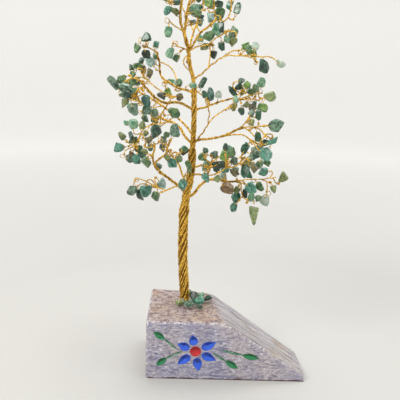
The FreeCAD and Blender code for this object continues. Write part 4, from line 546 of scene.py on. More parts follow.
FINE_WIRE = 0.22                  # the radius of a wire in a thin bundle
THICK_WIRE = 0.25                 # and in the trunk
WIRES_ACROSS = 4.6                # between those two, a bundle's radius against its wire's
PAIR_SPACING = 0.96               # room that a pair takes, against its width
PAIR_LAY = 10.0                   # one turn of a twisted pair, as a multiple of its wire's radius
THIN_LAY = 7.5                    # one turn of a very thin bundle, as a multiple of its radius
LAY_GROWTH = 1.7                  # how much longer that is for each mm of radius
WIRE_STEP = 0.45                  # spacing of the points along a bundle
WIRE_SIDES = 5
CORE_SIDES, CORE_SHARE = 8, 0.92  # the core of a bundle, painted dark as the shade between its strands, against the ring of strands round it
CORNER_CUTS = 3                   # how many times the corners of a line are cut to round it
STRAND_WAVER = 0.12               # how far a strand strays in and out, against the ring's radius


def put(name, data):
    """A new object in the scene that shows the data."""
    thing = bpy.data.objects.new(name, data)
    bpy.context.scene.collection.objects.link(thing)
    return thing


class Stock:
    """Vertices and faces gathered for one piece."""

    def __init__(self):
        self.points, self.faces, self.slots, self.smooth = [], [], [], []

    def add(self, points, faces, slot=0):
        base = len(self.points)
        self.points += points
        self.faces += [[base + n for n in face] for face in faces]
        self.slots += [slot] * len(faces)

    def piece(self, name, materials, body=TREE, smooth=True):
        mesh = bpy.data.meshes.new(name)
        mesh.from_pydata([tuple(v * MM for v in p) for p in self.points], [], self.faces)
        mesh.polygons.foreach_set("material_index", self.slots)
        mesh.polygons.foreach_set("use_smooth", [smooth] * len(self.faces))
        for material in materials:
            mesh.materials.append(material)
        mesh.update()
        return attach(put(name, mesh), body)


def rounded(points):
    """The places joined by a smooth curve that keeps to their straight runs' midpoints."""
    line = [Vector(p) for p in points]
    for _ in range(CORNER_CUTS):
        cut = [line[0]]
        for p, q in zip(line, line[1:]):
            cut += [p.lerp(q, 0.25), p.lerp(q, 0.75)]
        line = cut + [line[-1]]
    return line


def limb_line(places):
    """The smooth curve of a bundle whose places are given in the layout."""
    return even_steps(rounded([fanned(*place) for place in places]), WIRE_STEP)


def even_steps(line, step):
    """The same curve with points an even distance apart."""
    lengths = [0.0]
    for p, q in zip(line, line[1:]):
        lengths.append(lengths[-1] + (q - p).length)
    count = max(2, round(lengths[-1] / step))
    found, n = [], 0
    for k in range(count + 1):
        want = lengths[-1] * k / count
        while n < len(line) - 2 and lengths[n + 1] < want:
            n += 1
        run = max(1e-9, lengths[n + 1] - lengths[n])
        found.append(line[n].lerp(line[n + 1], (want - lengths[n]) / run))
    return found


def frames_along(line, closed=False):
    """A pair of cross axes at each point, carried along the curve without turning about it."""
    axes, side, last = [], None, len(line) - 1
    for n, p in enumerate(line):
        ahead = line[(n + 1) % len(line)] if closed or n < last else p
        behind = line[n - 1] if closed or n else p
        run = (ahead - behind).normalized()
        if side is None:
            side = run.orthogonal()
        side = (side - run * side.dot(run)).normalized()
        axes.append((side, run.cross(side)))
    return axes


def tube(stock, line, radius, sides=WIRE_SIDES, slot=0, closed=False):
    """A round tube along a curve."""
    points, faces = [], []
    for p, (a, b) in zip(line, frames_along(line, closed)):
        for k in range(sides):
            turn = 2 * math.pi * k / sides
            points.append(p + a * (radius * math.cos(turn)) + b * (radius * math.sin(turn)))
    rings = len(line)
    for n in range(rings if closed else rings - 1):
        m = (n + 1) % rings
        for k in range(sides):
            j = (k + 1) % sides
            faces.append([n * sides + k, n * sides + j, m * sides + j, m * sides + k])
    if not closed:
        faces.append(list(range(sides))[::-1])
        faces.append([(rings - 1) * sides + k for k in range(sides)])
    stock.add([tuple(p) for p in points], faces, slot)


def wound(line, radius, lay, start, wobble=0.0, seed=0.0):
    """A strand's own curve: wound round another, one turn to each lay, a little in and out."""
    axes = frames_along(line)
    found, gone = [], 0.0
    for n, (p, (a, b)) in enumerate(zip(line, axes)):
        if n:
            gone += (p - line[n - 1]).length
        turn = start + 2 * math.pi * gone / lay
        stray = math.sin(gone * 0.9 + seed * 5.1) * math.sin(gone * 0.37 + seed)
        out = radius * (1 + wobble * stray)
        found.append(p + a * (out * math.cos(turn)) + b * (out * math.sin(turn)))
    return found


def twisted_pair(stock, line, wire, lay, start):
    """Two wires twisted round each other along a curve."""
    for half in (0.0, math.pi):
        tube(stock, wound(line, wire, lay, start + half), wire)


def bundle(stock, line, radius, rng):
    """A bundle of twisted pairs laid round a core painted dark as the shade between them, filling
    the given radius.
    """
    wire = min(THICK_WIRE, max(FINE_WIRE, radius / WIRES_ACROSS))
    pair = 2 * wire
    ring = max(0.12, radius - pair)
    count = max(2, round(2 * math.pi * ring / (2 * pair * PAIR_SPACING)))
    if radius > 2 * pair:
        # painted shade: the darker core tube (slot 1) shows through the gaps between the strands
        tube(stock, line, ring * CORE_SHARE, CORE_SIDES, slot=1)
    lay = radius * (THIN_LAY + LAY_GROWTH * radius)
    for k in range(count):
        start = 2 * math.pi * (k + rng.uniform(-0.15, 0.15)) / count
        own_lay = lay * rng.uniform(0.92, 1.08)
        strand = wound(line, ring, own_lay, start, STRAND_WAVER, rng.uniform(0, 9))
        pair_lay = PAIR_LAY * wire * rng.uniform(0.85, 1.2)
        twisted_pair(stock, strand, wire, pair_lay, rng.uniform(0, 6))



# ---------------------------------------------------------------- materials


def srgb(*colour):
    """A given colour, as the linear value that a shader takes."""
    linear = [v / 12.92 if v < 0.04045 else ((v + 0.055) / 1.055) ** 2.4 for v in colour]
    return (*linear, 1.0)


class Look:
    """A node material, put together step by step. Noise scales are in turns per mm."""

    def __init__(self, name, **plain):
        self.material = bpy.data.materials.new(name)
        self.material.use_nodes = True
        self.nodes, self.links = self.material.node_tree.nodes, self.material.node_tree.links
        self.shader = self.nodes["Principled BSDF"]
        for socket, value in plain.items():
            self.shader.inputs[socket.replace("_", " ")].default_value = value
        self.place = self.nodes.new("ShaderNodeTexCoord").outputs["Object"]

    def wire(self, source, socket):
        if hasattr(source, "is_linked"):
            self.links.new(source, socket)
        else:
            socket.default_value = source

    def stretched(self, scale, turn=(0, 0, 0)):
        node = self.nodes.new("ShaderNodeMapping")
        node.inputs["Scale"].default_value = scale
        node.inputs["Rotation"].default_value = turn
        self.links.new(self.place, node.inputs["Vector"])
        return node.outputs["Vector"]

    def noise(self, scale, detail=3.0, rough=0.55, place=None, warp=0.0):
        node = self.nodes.new("ShaderNodeTexNoise")
        node.inputs["Scale"].default_value = scale / MM
        node.inputs["Detail"].default_value = detail
        node.inputs["Roughness"].default_value = rough
        node.inputs["Distortion"].default_value = warp
        self.links.new(place or self.place, node.inputs["Vector"])
        return node.outputs["Fac"]

    def axis(self, name, source=None):
        """One coordinate of the place in mm, or of another vector as it is."""
        node = self.nodes.new("ShaderNodeSeparateXYZ")
        self.links.new(source or self.place, node.inputs[0])
        found = node.outputs[name]
        return found if source else self.maths("MULTIPLY", found, 1 / MM)

    def normal(self, name):
        return self.axis(name, self.nodes.new("ShaderNodeNewGeometry").outputs["True Normal"])

    def maths(self, kind, a, b=0.0):
        node = self.nodes.new("ShaderNodeMath")
        node.operation = kind
        self.wire(a, node.inputs[0])
        self.wire(b, node.inputs[1])
        return node.outputs[0]

    def fade(self, value, low, high, start=0.0, end=1.0):
        """Start up to low, end from high on, and a straight change between."""
        node = self.nodes.new("ShaderNodeMapRange")
        for socket, setting in zip(node.inputs[1:5], (low, high, start, end)):
            socket.default_value = setting
        self.links.new(value, node.inputs[0])
        return node.outputs[0]

    def mix(self, share, a, b, kind="MIX"):
        node = self.nodes.new("ShaderNodeMix")
        node.data_type = "RGBA"
        node.blend_type = kind
        self.wire(share, node.inputs[0])
        self.wire(a, node.inputs[6])
        self.wire(b, node.inputs[7])
        return node.outputs[2]

    def layer(self, under, mask, low, high, colour):
        """The colour laid over another, more and more as the mask goes from low to high."""
        return self.mix(self.fade(mask, low, high), under, srgb(*colour))

    def colour(self, source):
        self.links.new(source, self.shader.inputs["Base Color"])

    def roughness(self, source):
        self.links.new(source, self.shader.inputs["Roughness"])

    def bump(self, height, depth, strength=1.0):
        """Relief of the given depth in mm."""
        node = self.nodes.new("ShaderNodeBump")
        node.inputs["Distance"].default_value = depth * MM
        node.inputs["Strength"].default_value = strength
        self.links.new(height, node.inputs["Height"])
        self.links.new(node.outputs[0], self.shader.inputs["Normal"])


def gold_wire():
    look = Look("gold_wire", Metallic=1.0)
    drift = look.noise(0.05, 2)
    warm = look.mix(drift, srgb(0.93, 0.78, 0.38), srgb(0.84, 0.66, 0.26))
    look.colour(look.layer(warm, look.noise(0.30, 4, 0.6), 0.52, 0.66, (0.58, 0.42, 0.15)))
    look.roughness(look.fade(look.noise(1.2, 3), 0.3, 0.7, 0.20, 0.36))
    look.bump(look.noise(3.0, 2, place=look.stretched((1, 1, 0.15))), 0.02, 0.4)
    return look.material


def gap_shade_look():
    # Painted shade: a darker brown-gold for the bundle's core, seen in the gaps between strands.
    look = Look("wire_shadow", Metallic=0.6, Roughness=0.6)
    look.colour(look.mix(look.noise(0.6), srgb(0.60, 0.43, 0.16), srgb(0.40, 0.26, 0.08)))
    return look.material


# look: main colour, second colour, pale patches, dark specks, clearness
STONES = {
    "teal": ((0.32, 0.56, 0.46), (0.12, 0.35, 0.29), 0.40, 0.45, 0.05),
    "moss": ((0.40, 0.53, 0.33), (0.17, 0.34, 0.19), 0.40, 0.50, 0.05),
    "dark": ((0.21, 0.35, 0.27), (0.07, 0.18, 0.13), 0.35, 0.50, 0.0),
    "mint": ((0.52, 0.68, 0.54), (0.31, 0.54, 0.41), 0.40, 0.30, 0.10),
    "olive": ((0.50, 0.54, 0.32), (0.31, 0.37, 0.20), 0.40, 0.45, 0.05),
    "grey": ((0.45, 0.55, 0.46), (0.24, 0.35, 0.28), 0.45, 0.50, 0.05),
    "ice": ((0.70, 0.80, 0.77), (0.45, 0.60, 0.56), 0.50, 0.30, 0.20),
    "clear": ((0.82, 0.86, 0.81), (0.68, 0.77, 0.69), 0.45, 0.15, 0.40),
    "brown": ((0.45, 0.42, 0.27), (0.24, 0.24, 0.15), 0.35, 0.45, 0.0),
    "speck": ((0.44, 0.58, 0.47), (0.20, 0.36, 0.27), 0.50, 0.75, 0.05),
    "deep": ((0.19, 0.40, 0.27), (0.07, 0.21, 0.14), 0.35, 0.45, 0.0),
    "black": ((0.15, 0.24, 0.17), (0.05, 0.10, 0.07), 0.35, 0.45, 0.0),
    "gloss": ((0.27, 0.47, 0.41), (0.09, 0.25, 0.22), 0.45, 0.45, 0.05),
    "lime": ((0.50, 0.64, 0.33), (0.30, 0.46, 0.18), 0.40, 0.35, 0.10),
    "aqua": ((0.39, 0.63, 0.53), (0.18, 0.44, 0.37), 0.45, 0.40, 0.10),
    "rose": ((0.62, 0.50, 0.36), (0.42, 0.33, 0.22), 0.45, 0.40, 0.05),
    "pale": ((0.66, 0.72, 0.50), (0.46, 0.54, 0.33), 0.45, 0.35, 0.15),
}


def stone_look(name):
    """Polished moss agate: clouds of two greens, pale milky patches and sharp dark inclusions."""
    main, second, pale, dark, clear = STONES[name]
    look = Look("stone_" + name, Roughness=0.30, IOR=1.5, Transmission_Weight=clear,
                Coat_Weight=0.2, Coat_Roughness=0.12)
    clouds = look.fade(look.noise(0.40, 4, 0.6, warp=0.8), 0.44, 0.56)
    body = look.mix(clouds, srgb(*main), srgb(*second))
    milk = look.noise(0.55, 5, 0.65, warp=1.2)
    milky = [0.40 + 0.58 * v for v in main]
    body = look.layer(body, milk, 0.66 - 0.2 * pale, 0.68 - 0.1 * pale, milky)
    specks = look.noise(0.80, 4, 0.7, warp=1.6)
    deepest = [0.22 * v for v in second]
    look.colour(look.layer(body, specks, 0.66 - 0.16 * dark, 0.70 - 0.14 * dark, deepest))
    look.bump(look.noise(0.7, 4, 0.6), 0.22, 0.6)
    return look.material


def paint_look(name, light, dark):
    """Thick streaky paint in a gouge mark, with painted shade on the downward-facing wall under
    each upper edge.
    """
    look = Look(name, Roughness=0.34, Coat_Weight=0.25, Coat_Roughness=0.15)
    # painted shade: walls that face down are darkened towards the dark colour by their normal
    wall = look.fade(look.normal("Z"), -0.30, 0.15, 0.75, 0.0)
    streaks = look.fade(look.noise(0.55, 4, 0.6), 0.56, 0.72, 0.0, 0.6)
    look.colour(look.mix(look.maths("MAXIMUM", wall, streaks), srgb(*light), srgb(*dark)))
    look.bump(look.noise(1.1, 3), 0.1, 0.4)
    return look.material


def glue_look():
    """Dried white glue: milky, glossy and a little lumpy."""
    look = Look("dried_glue", Roughness=0.22, IOR=1.48, Transmission_Weight=0.15, Coat_Weight=0.4)
    lumps = look.fade(look.noise(0.6, 3), 0.40, 0.62)
    look.colour(look.mix(lumps, srgb(0.93, 0.92, 0.89), srgb(0.70, 0.68, 0.62)))
    look.bump(look.noise(0.9, 3), 0.3, 0.6)
    return look.material


def whitewash():
    """Brushed paint on rough wood: lavender on the front, cream with brown show-through on top."""
    look = Look("whitewashed_wood", Roughness=0.74)
    stored = look.nodes.new("ShaderNodeAttribute")
    stored.attribute_name = WEDGE_MARKS
    marks = stored.outputs["Color"]
    front, slope, wear = look.axis("X", marks), look.axis("Y", marks), look.axis("Z", marks)
    hollow = stored.outputs["Alpha"]
    patches = look.noise(0.045, 3, 0.55)
    speckle = look.noise(0.80, 5, 0.75, place=look.stretched((0.55, 0.7, 1.0), (0, 0.25, 0)))
    fine = look.noise(1.1, 5, 0.7, place=look.stretched((0.30, 0.8, 1.0), (0, 0.2, 0)))
    grain = look.noise(2.0, 5, 0.7, place=look.stretched((0.035, 1.0, 0.035)))

    brushed = look.layer(srgb(0.67, 0.66, 0.72), hollow, 0.34, 0.66, (0.51, 0.50, 0.61))
    warm = look.layer(srgb(0.74, 0.70, 0.71), fine, 0.42, 0.58, (0.58, 0.55, 0.59))
    brushed = look.mix(look.fade(patches, 0.44, 0.62), brushed, warm)
    brushed = look.layer(brushed, fine, 0.54, 0.62, (0.44, 0.42, 0.52))
    brushed = look.layer(brushed, speckle, 0.55, 0.62, (0.81, 0.80, 0.84))

    cream = look.layer(srgb(0.70, 0.65, 0.64), patches, 0.42, 0.60, (0.70, 0.61, 0.52))
    cream = look.layer(cream, hollow, 0.44, 0.66, (0.52, 0.42, 0.41))
    cream = look.layer(cream, speckle, 0.52, 0.58, (0.42, 0.35, 0.39))
    cream = look.layer(cream, look.noise(1.3, 4, 0.7), 0.56, 0.64, (0.83, 0.80, 0.79))

    dust = look.layer(srgb(0.76, 0.74, 0.75), patches, 0.50, 0.66, (0.72, 0.67, 0.61))
    slats = look.layer(dust, hollow, 0.60, 0.74, (0.50, 0.46, 0.48))
    slats = look.layer(slats, grain, 0.49, 0.58, (0.38, 0.35, 0.38))

    body = look.mix(front, look.mix(slope, cream, slats), brushed)
    chalk = look.layer(srgb(0.86, 0.84, 0.85), speckle, 0.44, 0.58, (0.44, 0.37, 0.42))
    body = look.mix(wear, body, chalk)
    foot = look.maths("ADD", look.axis("Z"), look.fade(look.noise(0.2, 3), 0.3, 0.7, -0.5, 0.5))
    look.colour(look.mix(look.fade(foot, 0.3, 0.9, 1.0, 0.0), body, srgb(0.34, 0.22, 0.20)))
    look.bump(look.maths("ADD", fine, look.maths("MULTIPLY", speckle, 0.7)), 0.22, 0.7)
    return look.material


# ---------------------------------------------------------------- stones and wires

FACET_EDGE = 16                   # how sharp a chip's edges are
FACET_TILT = 0.45                 # how far the facets of a chip's outline lean
FLAT_TILT = 0.22                  # how far its two broad faces lean
CHAMFERS = 3                      # corners that are knocked off a chip
BALL_SPLITS = 4                   # how finely the ball is divided that a chip is shaped from
TWIG_WIRE = 0.25                  # the radius of a twig's wires
TWIG_LAY = 2.8                    # one turn of a twig's two wires
TWIG_STEP = 0.4                   # spacing of the points along a twig
LOOP_WIRE = 0.22                  # the radius of the wire in a loop, a curl or a wrapping
LOOP_SLACK = 0.7                  # how far a loop stands off the stone's faces
CURL_POINTS = 16
CURLED, WRAPPED = 0.4, 0.6        # the shares of the twigs that have a stray curl or a wrapping
WRAP_RADIUS = 0.62
WRAP_PITCH = 0.46
WRAP_SIDES = 10                   # points in one turn of a wrapping


def pebble_points(stone, rng, sphere):
    """A tumbled chip's surface: a blunt-edged body, flat along each side of its outline."""
    length, width, thick = stone["size"]
    outline = outline_of(stone)
    sides = []
    for n, (u, v) in enumerate(outline):
        w, x = outline[(n + 1) % len(outline)]
        out = Vector((x - v, -(w - u), 0)).normalized()
        if out.dot(Vector((u, v, 0))) < 0:
            out = -out
        tilt = rng.uniform(-FACET_TILT, FACET_TILT)
        reach = out.dot(Vector(((u + w) / 2, (v + x) / 2, 0)))
        sides.append((Vector((out.x, out.y, tilt)).normalized(), reach * 1.04))
    for way in (1, -1):
        leans = [rng.uniform(-FLAT_TILT, FLAT_TILT) for _ in range(2)]
        sides.append((Vector((*leans, way)).normalized(), thick / 2))
    for _ in range(CHAMFERS):
        lean = rng.uniform(0, 2 * math.pi)
        chamfer = Vector((math.cos(lean), math.sin(lean), rng.choice((-1, 1)))).normalized()
        reach = sum(abs(v) * side / 2 for v, side in zip(chamfer, stone["size"]))
        sides.append((chamfer, reach * rng.uniform(0.62, 0.74)))
    centre = Vector(stone["centre"])
    axes = [Vector(stone[key]) for key in ("out", "across", "thin")]
    points = []
    for ray in sphere:
        near = sum(max(0.0, ray.dot(out) / reach) ** FACET_EDGE for out, reach in sides)
        spot = ray * near ** (-1 / FACET_EDGE)
        points.append(tuple(centre + axes[0] * spot.x + axes[1] * spot.y + axes[2] * spot.z))
    return points


def ball():
    """The directions and faces of an even ball, which every chip is shaped from."""
    shape = bmesh.new()
    bmesh.ops.create_icosphere(shape, subdivisions=BALL_SPLITS, radius=1)
    rays = [v.co.normalized() for v in shape.verts]
    faces = [[v.index for v in face.verts] for face in shape.faces]
    shape.free()
    return rays, faces


def loop_line(stone):
    """The loop of single wire through the stone, from the twig's end and back to it."""
    heel = stone["size"][2] / 2 + LOOP_SLACK
    hole, apex = Vector(stone["hole"]), Vector(stone["apex"])
    thin = Vector(stone["thin"])
    line = [apex, hole - thin * heel, hole + thin * heel]
    for _ in range(CORNER_CUTS):
        cut = []
        for p, q in zip(line, line[1:] + line[:1]):
            cut += [p.lerp(q, 0.22), p.lerp(q, 0.78)]
        line = cut
    return line


def curl_line(stone, rng):
    """A stray curl of wire that stands off the twist below a stone."""
    apex, out = Vector(stone["apex"]), Vector(stone["out"])
    side = Vector(stone["thin"]) * rng.uniform(-1, 1)
    side = (side + Vector(stone["across"]) * rng.choice((-1, 1))).normalized()
    reach, turns = rng.uniform(0.8, 1.5), rng.uniform(0.7, 1.2)
    centre = apex + out * 0.6 + side * reach
    line = []
    for n in range(CURL_POINTS + 1):
        turn = 2 * math.pi * turns * n / CURL_POINTS
        grown = reach * (1 + 0.25 * n / CURL_POINTS)
        across, up = grown * math.cos(turn), grown * math.sin(turn)
        line.append(centre - side * across + out * up)
    return line


def wrap_line(stone, rng):
    """A few tight turns of wire round the twist below a stone."""
    apex, foot = Vector(stone["apex"]), Vector(stone["twig"][-2])
    run = (foot - apex).normalized()
    side = run.orthogonal().normalized()
    other = run.cross(side)
    turns = rng.choice((2, 3))
    line = []
    for n in range(turns * WRAP_SIDES + 1):
        turn = 2 * math.pi * n / WRAP_SIDES
        along = apex + run * (0.3 + WRAP_PITCH * n / WRAP_SIDES)
        across, up = WRAP_RADIUS * math.cos(turn), WRAP_RADIUS * math.sin(turn)
        line.append(along + side * across + other * up)
    return line


def wire_piece(name, limbs, stones, rng):
    """All the wire of a branch: its bundles, its twigs and the loops through its stones."""
    stock = Stock()
    for radius, places in limbs:
        bundle(stock, limb_line(places), radius, rng)
    for stone in stones:
        line = even_steps(rounded(stone["twig"]), TWIG_STEP)
        lay = TWIG_LAY * rng.uniform(0.85, 1.2)
        twisted_pair(stock, line, TWIG_WIRE, lay, rng.uniform(0, 6))
        tube(stock, loop_line(stone), LOOP_WIRE, closed=True)
        if rng.random() < CURLED:
            tube(stock, curl_line(stone, rng), LOOP_WIRE)
        if rng.random() < WRAPPED:
            tube(stock, wrap_line(stone, rng), LOOP_WIRE)
    piece = stock.piece(name + "_strands", [GOLD, GAP_SHADE])
    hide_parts(name + "_wires")


def stone_piece(name, stones, node, body=TREE):
    """A group of chips, each with the look that its stone has."""
    looks = sorted({stone["look"] for stone in stones})
    stock = Stock()
    for stone in stones:
        points = pebble_points(stone, random.Random(stone["seed"] + 1), BALL_RAYS)
        kept = [[min(max(v, low), high) for v, low, high in zip(p, *CAD_BOX)] for p in points]
        stock.add(kept, BALL_FACES, looks.index(stone["look"]))
    piece = stock.piece(name, [stone_material(look) for look in looks], body)
    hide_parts(node)


def stone_material(name):
    return bpy.data.materials.get("stone_" + name) or stone_look(name)


BALL_RAYS, BALL_FACES = ball()
CAD_BOX = [[v / MM for v in corner] for corner in (cad_low, cad_high)]   # chips stay inside it
GOLD, GAP_SHADE = gold_wire(), gap_shade_look()

TRUNK = {                         # each stretch of the trunk: radius, places
    "trunk_lower": (3.3, [
        (-27.2, 9, 27), (-27.2, 9, 43), (-28.8, 9, 62), (-29.5, 9, 80), (-29.4, 9, 98),
        (-28.7, 9, 105.5)]),
    "trunk_middle": (2.7, [
        (-28.7, 9, 105.5), (-28, 9, 113), (-25.8, 9, 122), (-24.9, 9, 134), (-24.6, 9, 143)]),
    "trunk_upper": (1.9, [
        (-24.6, 9, 143), (-24.3, 9, 152), (-24.2, 9, 162), (-24.4, 9, 174), (-25, 9, 183)]),
    "trunk_top": (1.4, [
        (-25, 9, 183), (-25.3, 9, 187.5), (-27.8, 9, 195), (-28.7, 9, 204), (-31.6, 9, 214.5)]),
}


def trunk_pieces():
    """The trunk's straight pieces, as (start, end, radius)."""
    found = []
    for radius, places in TRUNK.values():
        found += [(p, q, radius) for p, q in zip(places, places[1:])]
    return found


for node, (radius, places) in TRUNK.items():
    stock = Stock()
    bundle(stock, limb_line(places), radius, random.Random(7))
    piece = stock.piece(node + "_strands", [GOLD, GAP_SHADE])
    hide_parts(node)

crown = lay_out(BRANCHES, PENDANTS, LATE_STONES, trunk_pieces())
for number, (name, branch) in enumerate(BRANCHES.items()):
    wire_piece(name, branch["limbs"], crown[name], random.Random(100 + number))
    threaded = [stone for stone in crown[name] if not stone["name"]]
    stone_piece(name + "_chips", threaded, name + "_stones")
    for stone in crown[name]:
        if stone["name"]:
            pendant = stone["name"]
            stone_piece(pendant + "_chip", [stone], pendant, pendant + "_body")

# ---------------------------------------------------------------- the foot of the trunk

FOOT_STONES = [                  # (x, y, length, width, turn, tilt, look), lying in the glue
    (-30.4, -2.6, 6.2, 4.4, 8, 6, "pale"), (-24.0, -6.0, 6.8, 5.8, -30, 12, "speck"),
    (-16.8, -2.6, 7.4, 5.8, 25, 24, "aqua"), (-20.8, 5.4, 5.8, 4.4, 82, 60, "black"),
    (-11.8, 3.8, 6.0, 4.0, 35, 20, "dark"), (-16.2, 8.4, 6.0, 4.4, -30, 26, "mint"),
    (-24.2, 14.4, 6.0, 4.4, 10, 10, "moss"), (-17.0, -8.4, 3.8, 3.0, -15, 10, "dark"),
    (-21.2, -0.6, 5.0, 3.6, 64, 34, "deep"),
]
BASE_TOP = 39.5
GLUE_THICK = 0.7
GLUE_CENTRE = (-23.0, 3.1)
GLUE_REACH = (8.6, 8.4)           # the pool's half width and half depth
GLUE_DIP = 0.5                    # how far the pool's middle lies under the wedge's top
GLUE_BEADS = 15


def foot_stone(number):
    """One of the chips that lie in the glue round the trunk, propped up at one end by its tilt."""
    x, y, length, width, turn, tilt, look = FOOT_STONES[number]
    turn, tilt = math.radians(turn), math.radians(tilt)
    thick = THICK_SHARE * width
    flat, rise = math.cos(tilt), math.sin(tilt)
    level = BASE_TOP + GLUE_THICK + rise * CORNER_REACH * length + flat * thick / 2
    out = (math.cos(turn) * flat, math.sin(turn) * flat, rise)
    across = (-math.sin(turn), math.cos(turn), 0.0)
    return {
        "centre": (x, y, level), "out": out, "thin": cross(out, across), "across": across,
        "size": (length, width, thick), "hole": add((x, y, level), out, length / 2 - HOLE_INSET),
        "look": look, "seed": 90 + number,
    }


def ripple(x, y, z):
    """Smooth noise from -1 to 1."""
    return noise.noise(Vector((x, y, z)))


def blob(stock, centre, radii, wobble, seed):
    """A rounded lump whose surface swells and shrinks a little."""
    points = []
    for ray in BALL_RAYS:
        grown = 1 + wobble * ripple(ray.x * 1.6 + seed, ray.y * 1.6, ray.z * 1.6)
        points.append(tuple(c + r * v * grown for c, r, v in zip(centre, radii, ray)))
    stock.add(points, BALL_FACES)


def glue_piece():
    """The spilt glue: a thin uneven pool, with beads of it between the chips."""
    rng = random.Random(5)
    stock = Stock()
    middle, front = GLUE_CENTRE
    blob(stock, (middle, front, BASE_TOP - GLUE_DIP), (*GLUE_REACH, GLUE_THICK + 0.4), 0.3, 3.0)
    for n in range(GLUE_BEADS):
        turn = 2 * math.pi * (n + rng.uniform(-0.4, 0.4)) / GLUE_BEADS
        reach = rng.uniform(4.0, 8.0)
        wide = rng.uniform(0.5, 1.1)
        place = (middle + 1.15 * reach * math.cos(turn), front + reach * math.sin(turn))
        level = BASE_TOP + GLUE_THICK + rng.uniform(-0.2, 0.9)
        blob(stock, (*place, level), (wide, wide * 0.8, wide * 0.7), 0.5, 10.0 * n)
    piece = stock.piece("glue_pool", [glue_look()])
    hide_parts("trunk_glue")


stone_piece("foot_chips", [foot_stone(n) for n in range(len(FOOT_STONES))], "foot_stones")
glue_piece()

# ---------------------------------------------------------------- the wedge's worn surface

WEDGE_GRID = 0.5                  # spacing of the wedge's points
WEDGE_MARKS = "wedge_marks"       # per point: front, slope, worn edge, and how hollow the relief is
FRONT_Y = -28.2
GOUGE_ROOM = 2.6                  # the gouge marks keep this far from the front's outline
SLOPE_TURN, SLOPE_FALL = math.radians(8.6), math.radians(34.1)
SLOPE_START = -1.0                # where the slope begins along the front
WEDGE_LEFT = -51
GOUGE_SINK = 0.07                 # the bare wood lies this far under the paint of the gouge marks
GOUGE_DEPTH = 2.5                 # the gouge marks lie between the front face and this depth
NICK_X, NICK_HALF, NICK_HIGH = 9.0, 2.6, 1.5   # a nick in the front's lower edge
NICK_DEEP = 0.9
BRUSH_DEEP, GROOVE_DEEP = 0.17, 0.22           # relief on the brushed sides; on the top and slope
SWELL_DEEP = 0.22                 # the slow rise and fall of every face
CHIP_DEEP = 0.9                   # how deep the edges are chipped
FLATS = {
    "front": Vector((0, -1, 0)), "left": Vector((-1, 0, 0)), "top": Vector((0, 0, 1)),
    "under": Vector((0, 0, -1)), "back": Vector((16.4, 102, 0)).normalized(),
    "slope": Vector((math.sin(SLOPE_FALL) * math.cos(SLOPE_TURN),
                     math.sin(SLOPE_FALL) * math.sin(SLOPE_TURN), math.cos(SLOPE_FALL))),
}


def step(value, low, high):
    """0 up to low, 1 from high on, and smooth between."""
    share = min(1.0, max(0.0, (value - low) / (high - low)))
    return share * share * (3 - 2 * share)


def in_gouge(p):
    """Whether a point of the front lies below the flat face, away from the worn outline."""
    roof = min(BASE_TOP, BASE_TOP - (p.x - SLOPE_START) * math.tan(SLOPE_FALL))
    inside = p.x > WEDGE_LEFT + GOUGE_ROOM and GOUGE_ROOM < p.z < roof - GOUGE_ROOM
    return inside and FRONT_Y + 0.02 < p.y < FRONT_Y + GOUGE_DEPTH


def evenly(p, scale):
    """Smooth noise at a point, the same in every direction."""
    return ripple(p.x * scale, p.y * scale, p.z * scale)


def wedge_relief(p, near, edge):
    """How deep a point is worn in, in mm, and how hollow it is from 0 to 1."""
    drift = 1.6 * evenly(p, 0.04)
    deep = GROOVE_DEEP
    if near == "slope":
        marks = ripple(p.x * 0.035, p.y * 1.1 + drift, 4.0)
        marks += 0.6 * ripple(p.x * 0.08, p.y * 2.1, 9.0)
    elif near == "top":
        marks = ripple(p.x * 0.28, p.y * 0.34, 2.0) + 0.5 * ripple(p.x * 0.9, p.y * 0.9, 5.0)
    else:
        marks = ripple(p.x * 0.10, p.y * 0.10, p.z * 0.75 + drift)
        marks += 0.6 * ripple(p.x * 0.25, p.y * 0.25, p.z * 1.2 + 7)
        deep = BRUSH_DEEP
    hollow = min(1.0, max(0.0, 0.5 + 0.5 * marks))
    depth = deep * hollow + SWELL_DEEP * (0.5 + 0.5 * evenly(p, 0.06))
    chips = evenly(p, 0.24) + 0.5 * evenly(p, 0.6)
    return depth + edge * max(0.0, chips + 0.1) * CHIP_DEEP, hollow


